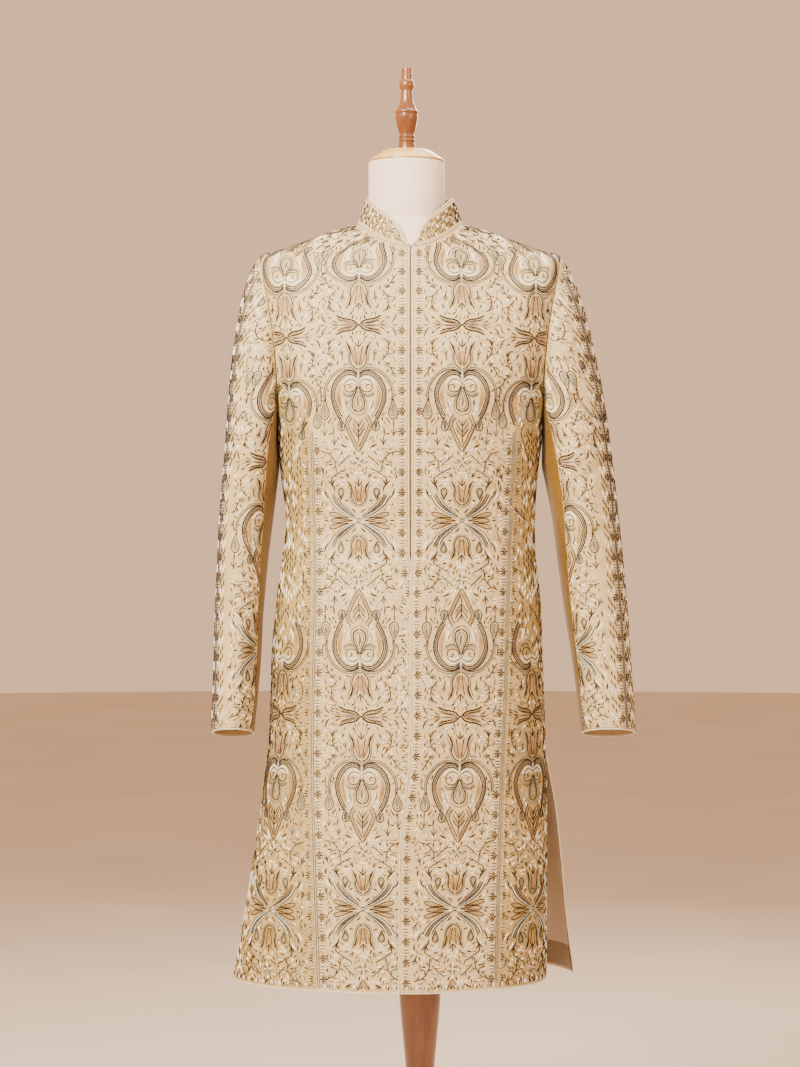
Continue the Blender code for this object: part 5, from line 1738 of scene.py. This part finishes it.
def fan(p, v, way, size, thread, spread=52.0, half=0.00085):
    """Dashes that open across from a dark foot."""
    made = []
    for share, long in ((-1, 0.78), (-0.5, 0.95), (0, 1.0), (0.5, 0.95), (1, 0.78)):
        angle = math.radians(spread * share)
        step = np.array((way * math.cos(angle), math.sin(angle))) * size * long
        made.append((thread, "leaf", half, np.array((step * 0.20, step * 0.60, step))
                     + np.array((p, v))))
    foot = np.array((way * 0.0024, 0.0))
    made.append((thread, "leaf", 0.0012, np.array((-foot * 0.4, foot * 0.3, foot))
                 + np.array((p, v))))
    return made
def level_dash(p, v, way, thread, start=0.0008, end=0.0062, half=0.0008):
    return (thread, "leaf", half, np.array(((p + way * start, v), (p + way * (start + end) / 2, v),
                                            (p + way * end, v))))


def round_flower(p, v, size=3.9):
    made = []
    for k in range(8):
        angle = math.radians(45 * k)
        step = np.array((math.cos(angle), math.sin(angle))) * size * UNIT
        made.append(("bronze" if k % 2 else "cream|bronze", "leaf", 0.0011,
                     np.array((step * 0.2, step * 0.6, step)) + np.array((p, v))))
    return made


def along(line_p, levels, low, high, step):
    """Places at even heights along a line given by its p at each level."""
    v = np.arange(low, high, step)
    return np.interp(v, levels, line_p), v


def line_stroke(thread, style, half, p, v):
    return (thread, style, half, np.stack((p, v), axis=1))


FAN_STEP = 0.01375


# The cream dashes of the comb are painted highlights between the darker two-sided dashes.
COMB = ((-0.0050, "bronze|silver"), (-0.0030, "cream"), (-0.0010, "silver|bronze"),
        (0.0010, "cream"), (0.0030, "bronze|silver"), (0.0050, "cream"))


def fans_beside(p, v, way, strong):
    """One step of a border on one side of a line: a dark fan, or a comb of light dashes."""
    if strong:
        return fan(p, v, way, 0.0114, "bronze", 50.0, 0.00110)
    return [level_dash(p, v + off, way, thread, 0.0004, 0.0084 - abs(off) * 0.4, 0.00072)
            for off, thread in COMB]
def edge_border(line_p, levels, low, high):
    """Border beside the front edge: dark and light fans in turn, opening from the edge."""
    made = []
    place, height = along(line_p, levels, low + 0.004, high, FAN_STEP)
    for k, (a, b) in enumerate(zip(place, height)):
        made.extend(fans_beside(a + 0.0034, b, 1, k % 2 == 0))
    return made


def stripe(line_p, levels, low, high, step=FAN_STEP):
    """Upright stripe: a double grey cord with fans that open to both sides."""
    made = []
    v = np.linspace(low, high, 260)
    p = np.interp(v, levels, line_p)
    for off in (-0.0015, 0.0015):
        made.append(line_stroke("lilac|silver", "bead", 0.00105, p + off, v))
    place, height = along(line_p, levels, low + 0.006, high, step)
    for k, (a, b) in enumerate(zip(place, height)):
        for side in (-1, 1):
            made.extend(fans_beside(a + side * 0.0030, b, side, k % 2 == 0))
    return made


def hem_border(p_from, p_to, level_at, repeat=0.0034):
    """A dense row of tiny leaves just above a hem."""
    made = []
    threads = ("bronze", "rose|bronze", "cream", "bronze|rose")
    for k, a in enumerate(np.arange(p_from, p_to, repeat)):
        b = float(level_at(np.array(a)))
        lean = 0.0008 * (1 if k % 2 else -1)
        foot = np.array((a - lean, b + 0.0026))
        tip = np.array((a + lean, b + 0.0086))
        made.append((threads[k % 4], "leaf", 0.0009, np.array((foot, (foot + tip) / 2, tip))))
    return made


# Cream dashes are painted glints on the golden sides, and the bar pairs paint a highlight side and
# a shade side on each dash.
DASH_THREADS = ("gold|bronze", "bronze", "cream", "rose|bronze", "gold|cream", "bronze|gold",
                "cream|gold")


def dash_field(p_low, p_high, low, high, seed, gap=0.0058, step=0.0098):
    """Close upright leaves on the golden sides, in gently waving rows."""
    rng = np.random.default_rng(seed)
    made = []
    for i, p in enumerate(np.arange(p_low, p_high, gap)):
        for v in np.arange(low + step * 0.5 * (i % 2), high, step):
            lean = 0.0020 * math.sin(v * 95 + i * 1.9)
            here = np.array((p + rng.uniform(-0.0008, 0.0008), v + rng.uniform(-0.001, 0.001)))
            reach = np.array((lean, 0.0042))
            thread = DASH_THREADS[rng.integers(len(DASH_THREADS))]
            made.append((thread, "leaf", 0.00125, np.array((here - reach, here, here + reach))))
    return made
def keep_clear(strokes, taken):
    """Strokes whose middle isn't in a strip that a border takes up."""
    made = []
    for stroke in strokes:
        middle = stroke[3].mean(axis=0)
        if not taken(middle[0], middle[1]):
            made.append(stroke)
    return made


HALF_STROKES = half_repeat()
HEM_Z = 0.460
STRIPE_TOP_Z = 1.215

# Where the golden sides begin on the fronts: height and p, or distance from the stripe where
# the number is under 0.1
DASH_Z = (0.46, 0.86, 0.96, 1.20, 1.25)
DASH_FAR = {"right": 0.2580, "left": 0.2380}
DASH_BACK = 0.2230
DASH_STRIPE_GAP = 0.0150


def embroider_body(threads):
    turns = np.concatenate((np.linspace(-0.16, 0.2, 30), np.linspace(0.2, QUARTER, 110)[1:]))
    rings = np.linspace(0, HEM_RING, 420)
    for side in ("right", "left"):
        lifted = side == "left"
        chart = Chart(lambda a, b: coat_points(a, b, "front", side, lifted), turns, rings, 0.0,
                      (-0.03, 0.36), (0.455, 1.62))
        edge = chart.border(lambda ring: edge_turn(ring, side))
        seam = chart.border(lambda ring: front_outline(ring, side))
        rim = chart.border(lambda ring: slit_turn(ring, "front"))
        armhole_line = chart.border(armhole_turn_at)
        low_seam = np.minimum(seam, rim)
        low = HEM_Z + 0.0015

        def front_inside(p, v, width):
            _, _, valid = chart.read(p, v)
            return ((valid > 0.98) & (p > chart.border_at(edge, v) + width + 0.0014)
                    & (p < chart.border_at(low_seam, v) - width - 0.0010)
                    & (v > low + width))

        def side_inside(p, v, width):
            _, _, valid = chart.read(p, v)
            return ((valid > 0.98) & (p > chart.border_at(seam, v) + width + 0.0010)
                    & (p < chart.border_at(np.minimum(rim, np.where(
                        chart.levels > ARMPIT_Z, armhole_line, 1.0)), v) - width - 0.0012)
                    & (v > low + width) & (v < PRINCESS_TOP_Z))

        stripe_line = seam - 0.0042
        at_seam = np.interp(chart.levels, DASH_Z, (0, 0, 1, 1, 0))
        dash_line = mix(DASH_FAR[side], stripe_line + DASH_STRIPE_GAP, at_seam)

        def in_border(p, v):
            near_edge = p < chart.border_at(edge, v) + 0.0165
            near_stripe = abs(p - chart.border_at(stripe_line, v)) < 0.0135
            far = p > chart.border_at(dash_line, v) and v < DASH_Z[-1]
            return near_edge or (near_stripe and v < STRIPE_TOP_Z + 0.006) or far

        def outside_dashes(p, v):
            return p < chart.border_at(dash_line, v) + 0.002 or v > DASH_Z[-1] - 0.01

        strokes = []
        for k, p0 in enumerate(COLUMN_PLACES):
            column = leaning(column_strokes(p0, BOW_LEVELS, 0.46, 1.60), side, k)
            strokes.extend(column if k == 0 else sagged(column))
        strokes = keep_clear(strokes, in_border)
        strokes.extend(edge_border(edge, chart.levels, HEM_Z + 0.008, 1.466))
        strokes.extend(stripe(stripe_line, chart.levels, HEM_Z + 0.008, STRIPE_TOP_Z))
        strokes.extend(hem_border(-0.012, 0.30, lambda p: np.full_like(p, HEM_Z)))
        strokes.extend(keep_clear(dash_field(0.130, 0.32, 0.470, 1.25, 3), outside_dashes))
        strokes.extend(ground_leaves(strokes, (-0.026, 0.300), (HEM_Z + 0.010, 1.30),
                                     0.0050, 7))
        ribbon_mesh("stitches_front_" + side, strokes, chart, front_inside, threads)
        ribbon_mesh("stitches_side_front_" + side, strokes, chart, side_inside, threads)

        chart = Chart(lambda a, b: coat_points(a, b, "back", side), turns[turns > 0], rings,
                      float(turns[turns > 0][0]), (0, 0.36), (0.455, 1.62))
        outline = chart.border(back_outline)

        def back_inside(p, v, width):
            _, _, valid = chart.read(p, v)
            return ((valid > 0.98) & (p > width + 0.0012)
                    & (p < chart.border_at(outline, v) - width - 0.0012)
                    & (v > low + width))

        back_stripe = np.interp(chart.levels, (0.46, 0.95, 1.3), (0.128, 0.121, 0.1235))

        def in_back_border(p, v):
            near_stripe = abs(p - chart.border_at(back_stripe, v)) < 0.0135
            return near_stripe or (p > DASH_BACK and v < DASH_Z[-1])

        strokes = []
        for p0 in COLUMN_PLACES:
            strokes.extend(column_strokes(p0 - 0.008, BOW_LEVELS, 0.46, 1.60))
        strokes = keep_clear(strokes, in_back_border)
        strokes.extend(stripe(back_stripe, chart.levels, HEM_Z + 0.008, 1.50))
        strokes.extend(hem_border(0.0, 0.31, lambda p: np.full_like(p, HEM_Z)))
        strokes.extend(dash_field(DASH_BACK + 0.002, 0.31, 0.470, 1.24, 4))
        strokes.extend(ground_leaves(strokes, (0.0, 0.31), (HEM_Z + 0.010, 1.30), 0.0056, 8))
        ribbon_mesh("stitches_back_" + side, strokes, chart, back_inside, threads)
ARMPIT_Z = float(ring_value("side_z", np.array(ARMPIT_RING)))
PRINCESS_TOP_Z = float(base_points(*[np.array(x) for x in armhole(PRINCESS_WALK)],
                                   "front", "right")[2])

SLEEVE_BOW_LEVEL = 1.1744
SLEEVE_REPEAT = 0.97
STRIPE_WALK = {"right": ((1.44, 1.20, 1.05, 0.92, 0.80), (0.62, 0.50, 0.44, 0.44, 0.50)),
               "left": ((1.44, 1.20, 1.05, 0.92, 0.80), (0.62, 0.62, 0.66, 0.70, 0.74))}


def leaf_rows(line_p, levels, low, high, offsets, step=0.0112):
    """Rows of small upright leaves that lean in turn to each side of a line."""
    made = []
    for n, off in enumerate(offsets):
        v = np.arange(low + step * 0.5 * (n % 2), high, step)
        p = np.interp(v, levels, line_p) + off
        for k, (a, b) in enumerate(zip(p, v)):
            lean = 0.0019 * (1 if off > 0 else -1) * (0.6 + 0.4 * (k % 2))
            foot = np.array((a - lean * 0.5, b - 0.0040))
            tip = np.array((a + lean, b + 0.0036))
            # Every third leaf is cream, a painted highlight among the bronze leaves.
            thread = "bronze" if k % 3 else "cream"
            made.append((thread, "leaf", 0.00105, np.array((foot, (foot + tip) / 2, tip))))
    return made


def embroider_sleeves(threads):
    places = np.concatenate((np.linspace(-1, 0, 90)[:-1], np.linspace(0, 1, 190)))
    for side in ("right", "left"):
        def surface(a, b):
            return sleeve_points(side, a, b)

        def stripe_walk(place):
            z = sleeve_points(side, np.full_like(place, 0.5), place)[0][..., 2]
            return curve(*STRIPE_WALK[side], z)

        walks = np.linspace(-0.35, SLEEVE_SEAM_WALK, 110)
        chart = Chart(surface, walks, places, SLEEVE_SEAM_WALK, (-0.19, 0.006), (0.77, 1.52))
        line = chart.border(stripe_walk)
        outer = line - 0.030

        def front_inside(p, v, width):
            _, _, valid = chart.read(p, v)
            return ((valid > 0.98) & (p < -0.0012 - width)
                    & (p > np.interp(v, chart.levels, outer)))

        def near_stripe(p, v):
            return abs(p - np.interp(v, chart.levels, line)) < 0.0235

        strokes = []
        for flip, level in ((False, SLEEVE_BOW_LEVEL), (True, SLEEVE_BOW_LEVEL)):
            half, at_bow, at_cross = HALF_STROKES
            strokes.extend(placed(half, -0.001, level, SLEEVE_REPEAT, flip))
        tall = HALF_REPEAT * UNIT * SLEEVE_REPEAT
        for level in (SLEEVE_BOW_LEVEL - 2 * tall, SLEEVE_BOW_LEVEL + 2 * tall):
            strokes.extend(placed(half, -0.001, level, SLEEVE_REPEAT,
                                  level < SLEEVE_BOW_LEVEL))
        strokes.extend(placed(at_bow, -0.001, SLEEVE_BOW_LEVEL, SLEEVE_REPEAT))
        strokes.extend(placed(at_cross, -0.001, SLEEVE_BOW_LEVEL, SLEEVE_REPEAT))
        strokes.extend(placed(half, -0.001 - 78 * UNIT * SLEEVE_REPEAT, SLEEVE_BOW_LEVEL,
                              SLEEVE_REPEAT, True))
        strokes = keep_clear(strokes, near_stripe)
        strokes.extend(stripe(line, chart.levels, 0.79, 1.50))
        strokes.extend(leaf_rows(line, chart.levels, 0.79, 1.50,
                                 (-0.0125, -0.0175, -0.0225, 0.0125, 0.0175, 0.0220)))
        ribbon_mesh("stitches_sleeve_" + side, strokes, chart, front_inside, threads)

        walks = np.linspace(-SLEEVE_BACK_WALK, 0.75, 120)
        chart = Chart(surface, walks, places, -SLEEVE_BACK_WALK, (-0.006, 0.21), (0.77, 1.52))
        split = chart.border(stripe_walk) - 0.030

        def back_inside(p, v, width):
            _, _, valid = chart.read(p, v)
            return ((valid > 0.98) & (p > 0.0012 + width)
                    & (p < np.interp(v, chart.levels, split)))

        strokes = []
        for off in (0.001, 0.001 + 78 * UNIT * SLEEVE_REPEAT):
            for flip in (False, True):
                strokes.extend(placed(half, off, SLEEVE_BOW_LEVEL, SLEEVE_REPEAT, flip))
            for level in (SLEEVE_BOW_LEVEL - 2 * tall, SLEEVE_BOW_LEVEL + 2 * tall):
                strokes.extend(placed(half, off, level, SLEEVE_REPEAT,
                                      level < SLEEVE_BOW_LEVEL))
            strokes.extend(placed(at_bow, off, SLEEVE_BOW_LEVEL, SLEEVE_REPEAT))
            strokes.extend(placed(at_cross, off, SLEEVE_BOW_LEVEL, SLEEVE_REPEAT))
        ribbon_mesh("stitches_sleeve_back_" + side, strokes, chart, back_inside, threads)


class CollarChart:
    """The collar's surface for strokes: p along its base and v up it."""

    def read(self, p, v):
        point, normal = collar_points(p, v)
        inside = (v > 0.0050) & (v < collar_height(p) - 0.0044)
        inside = inside & (p > 0.003) & (p < COLLAR_LENGTH - 0.003)
        return point, normal, inside.astype(float)


COLLAR_ROWS = ((0.0080, 34), (0.0136, -30), (0.0192, 26), (0.0248, -34), (0.0300, 30))
COLLAR_THREADS = ("bronze", "rose|bronze", "bronze", "cream", "bronze|gold")


def embroider_collar(threads):
    """Close dark leaves in rows that lean to and fro, with a round flower now and then."""
    chart = CollarChart()
    rng = np.random.default_rng(6)
    strokes = []
    flowers = (np.arange(9) + 0.5) * COLLAR_LENGTH / 9
    for p in flowers:
        strokes.extend(round_flower(p, 0.0190, 4.4))
    for row, (height, lean) in enumerate(COLLAR_ROWS):
        for k, p in enumerate(np.arange(0.004 + 0.0021 * (row % 2), COLLAR_LENGTH, 0.0042)):
            if abs(flowers - p).min() < 0.0072 and abs(height - 0.019) < 0.008:
                continue
            angle = math.radians(90 + lean + rng.uniform(-14, 14))
            step = np.array((math.cos(angle), math.sin(angle))) * 0.0033
            here = np.array((p, height + rng.uniform(-0.0006, 0.0006)))
            strokes.append((COLLAR_THREADS[(k + 2 * row) % 5], "leaf", 0.0011,
                            np.array((here - step, here, here + step))))

    def inside(p, v, width):
        return chart.read(p, v)[2] > 0.5

    ribbon_mesh("stitches_collar", strokes, chart, inside, threads)
# Soft pieces


def declare_soft(pieces):
    """Reads the cut size of every cloth piece and rounds its width and length; nothing more is
    done with them.
    """
    for node, piece in pieces.items():
        if node not in CUT_SIZES:
            continue
        width, length, area = CUT_SIZES[node]
        width = round(width, 3)
        length = round(length, 3)


# Camera, light and stage

CAMERA_PLACE = (-0.028, -3.6, 1.076)
CAMERA_LENS = 86.7
CAMERA_SENSOR = 36


def make_camera():
    data = bpy.data.cameras.new("camera")
    data.lens = CAMERA_LENS
    data.sensor_width = CAMERA_SENSOR
    camera = bpy.data.objects.new("camera", data)
    camera.location = CAMERA_PLACE
    camera.rotation_euler = (QUARTER, 0, 0)
    bpy.context.scene.collection.objects.link(camera)
    bpy.context.scene.camera = camera


# Columns: name, place, height it is aimed at, width, depth, watts, colour
LAMPS = (
    ("key", (-1.15, -1.8, 2.6), 1.34, 0.6, 0.6, 178.0, (1.0, 0.94, 0.83)),
    ("fill", (2.0, -2.3, 2.1), 1.3, 1.4, 1.4, 40.0, (1.0, 0.93, 0.83)),
    ("top", (0.2, 0.2, 3.0), 1.1, 1.6, 1.4, 44.0, (1.0, 0.95, 0.88)),
    ("back", (0.6, 2.6, 2.6), 1.1, 1.6, 1.6, 95.0, (1.0, 0.93, 0.83)),
)
WORLD_COLOUR = (1.06, 0.64, 0.38, 1.0)
WORLD_STRENGTH = 1.05
FLOOR_RADIUS = 14


def make_lamps():
    for name, place, aim_z, width, depth, watts, colour in LAMPS:
        data = bpy.data.lights.new(name, "AREA")
        data.shape = "RECTANGLE"
        data.size = width
        data.size_y = depth
        data.energy = watts
        data.color = colour
        lamp = bpy.data.objects.new(name, data)
        lamp.location = place
        step = np.array((0, 0, aim_z)) - np.array(place)
        step = step / np.linalg.norm(step)
        lamp.rotation_euler = (math.acos(-step[2]), 0, math.atan2(-step[0], step[1]))
        bpy.context.scene.collection.objects.link(lamp)
    world = bpy.data.worlds.new("world")
    world.use_nodes = True
    bpy.context.scene.world = world
    background = world.node_tree.nodes["Background"]
    background.inputs["Color"].default_value = WORLD_COLOUR
    background.inputs["Strength"].default_value = WORLD_STRENGTH


def make_floor():
    bpy.ops.mesh.primitive_circle_add(vertices=96, radius=FLOOR_RADIUS, fill_type="NGON")
    floor = bpy.context.active_object
    floor.name = "floor"
    floor.location.z = -0.0005
    floor.data.materials.append(floor_material())


def main():
    ivory = silk_material("ivory_brocade", colour_of(221, 195, 142), colour_of(203, 174, 120),
                          worked=0.42)
    # The side panels' golden tone is painted sheen: a tint that stands in for the silk's golden
    # shine where it turns away from view. The collar shares this material.
    golden = silk_material("golden_brocade_and_painted_sheen", colour_of(204, 176, 114), colour_of(176, 146, 86),
                           worked=0.7)
    inside = silk_material("inside_silk", colour_of(206, 176, 130), colour_of(180, 148, 104))
    gold = silk_material("gold_silk", colour_of(138, 100, 28), colour_of(98, 68, 14), 0.38,
                         0.15)
    lining = silk_material("rose_lining", colour_of(194, 172, 146), colour_of(172, 148, 122),
                           0.34, 0.3)
    cream = cord_material()
    jersey = form_material()
    pieces = make_panels([ivory, inside], [golden, inside])
    pieces.update(make_sleeves([ivory, inside], [gold, inside]))
    pieces["collar"] = make_collar([golden, inside])
    pieces["underlap"] = make_underlap(gold)
    lining_piece, facing_piece = make_slit_lining(lining, gold)
    pieces["lining_back_left"] = lining_piece
    pieces["hem_facing_back_left"] = facing_piece
    pieces.update(make_piping(cream))
    make_collar_cords(cream)
    make_hook(hook_material())
    pieces["torso"] = make_torso(jersey)
    brown = wood_material("polished_wood", colour_of(136, 78, 28), colour_of(98, 50, 15), 0.5)
    pale = wood_material("pale_wood", colour_of(222, 178, 96), colour_of(190, 142, 62), 0.3)
    pieces["neck"] = turned("form_neck", NECK_PROFILE, jersey, "form_cloth", NECK_X, 96, False)
    pieces["neck_cap"] = turned("form_cap", CAP_PROFILE, pale, "pale_wood", NECK_X, 96, False)
    pieces["finial"] = turned("stand_finial", FINIAL_PROFILE, brown, "brown_wood", NECK_X)
    pieces["post"] = turned("stand_post", POST_PROFILE, brown, "brown_wood")
    pieces["base"] = turned("stand_base", BASE_PROFILE, brown, "brown_wood", 0.0, 128, False)
    for node, piece in pieces.items():
        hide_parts(node)
    declare_soft(pieces)
    threads = [thread_material("thread_" + name, colour_of(*light), colour_of(*dark), rough,
                               metal, shine)
               for name, light, dark, rough, metal, shine in THREAD_ROWS]
    embroider_body(threads)
    embroider_sleeves(threads)
    embroider_collar(threads)
    make_camera()
    make_lamps()
    make_floor()


main()
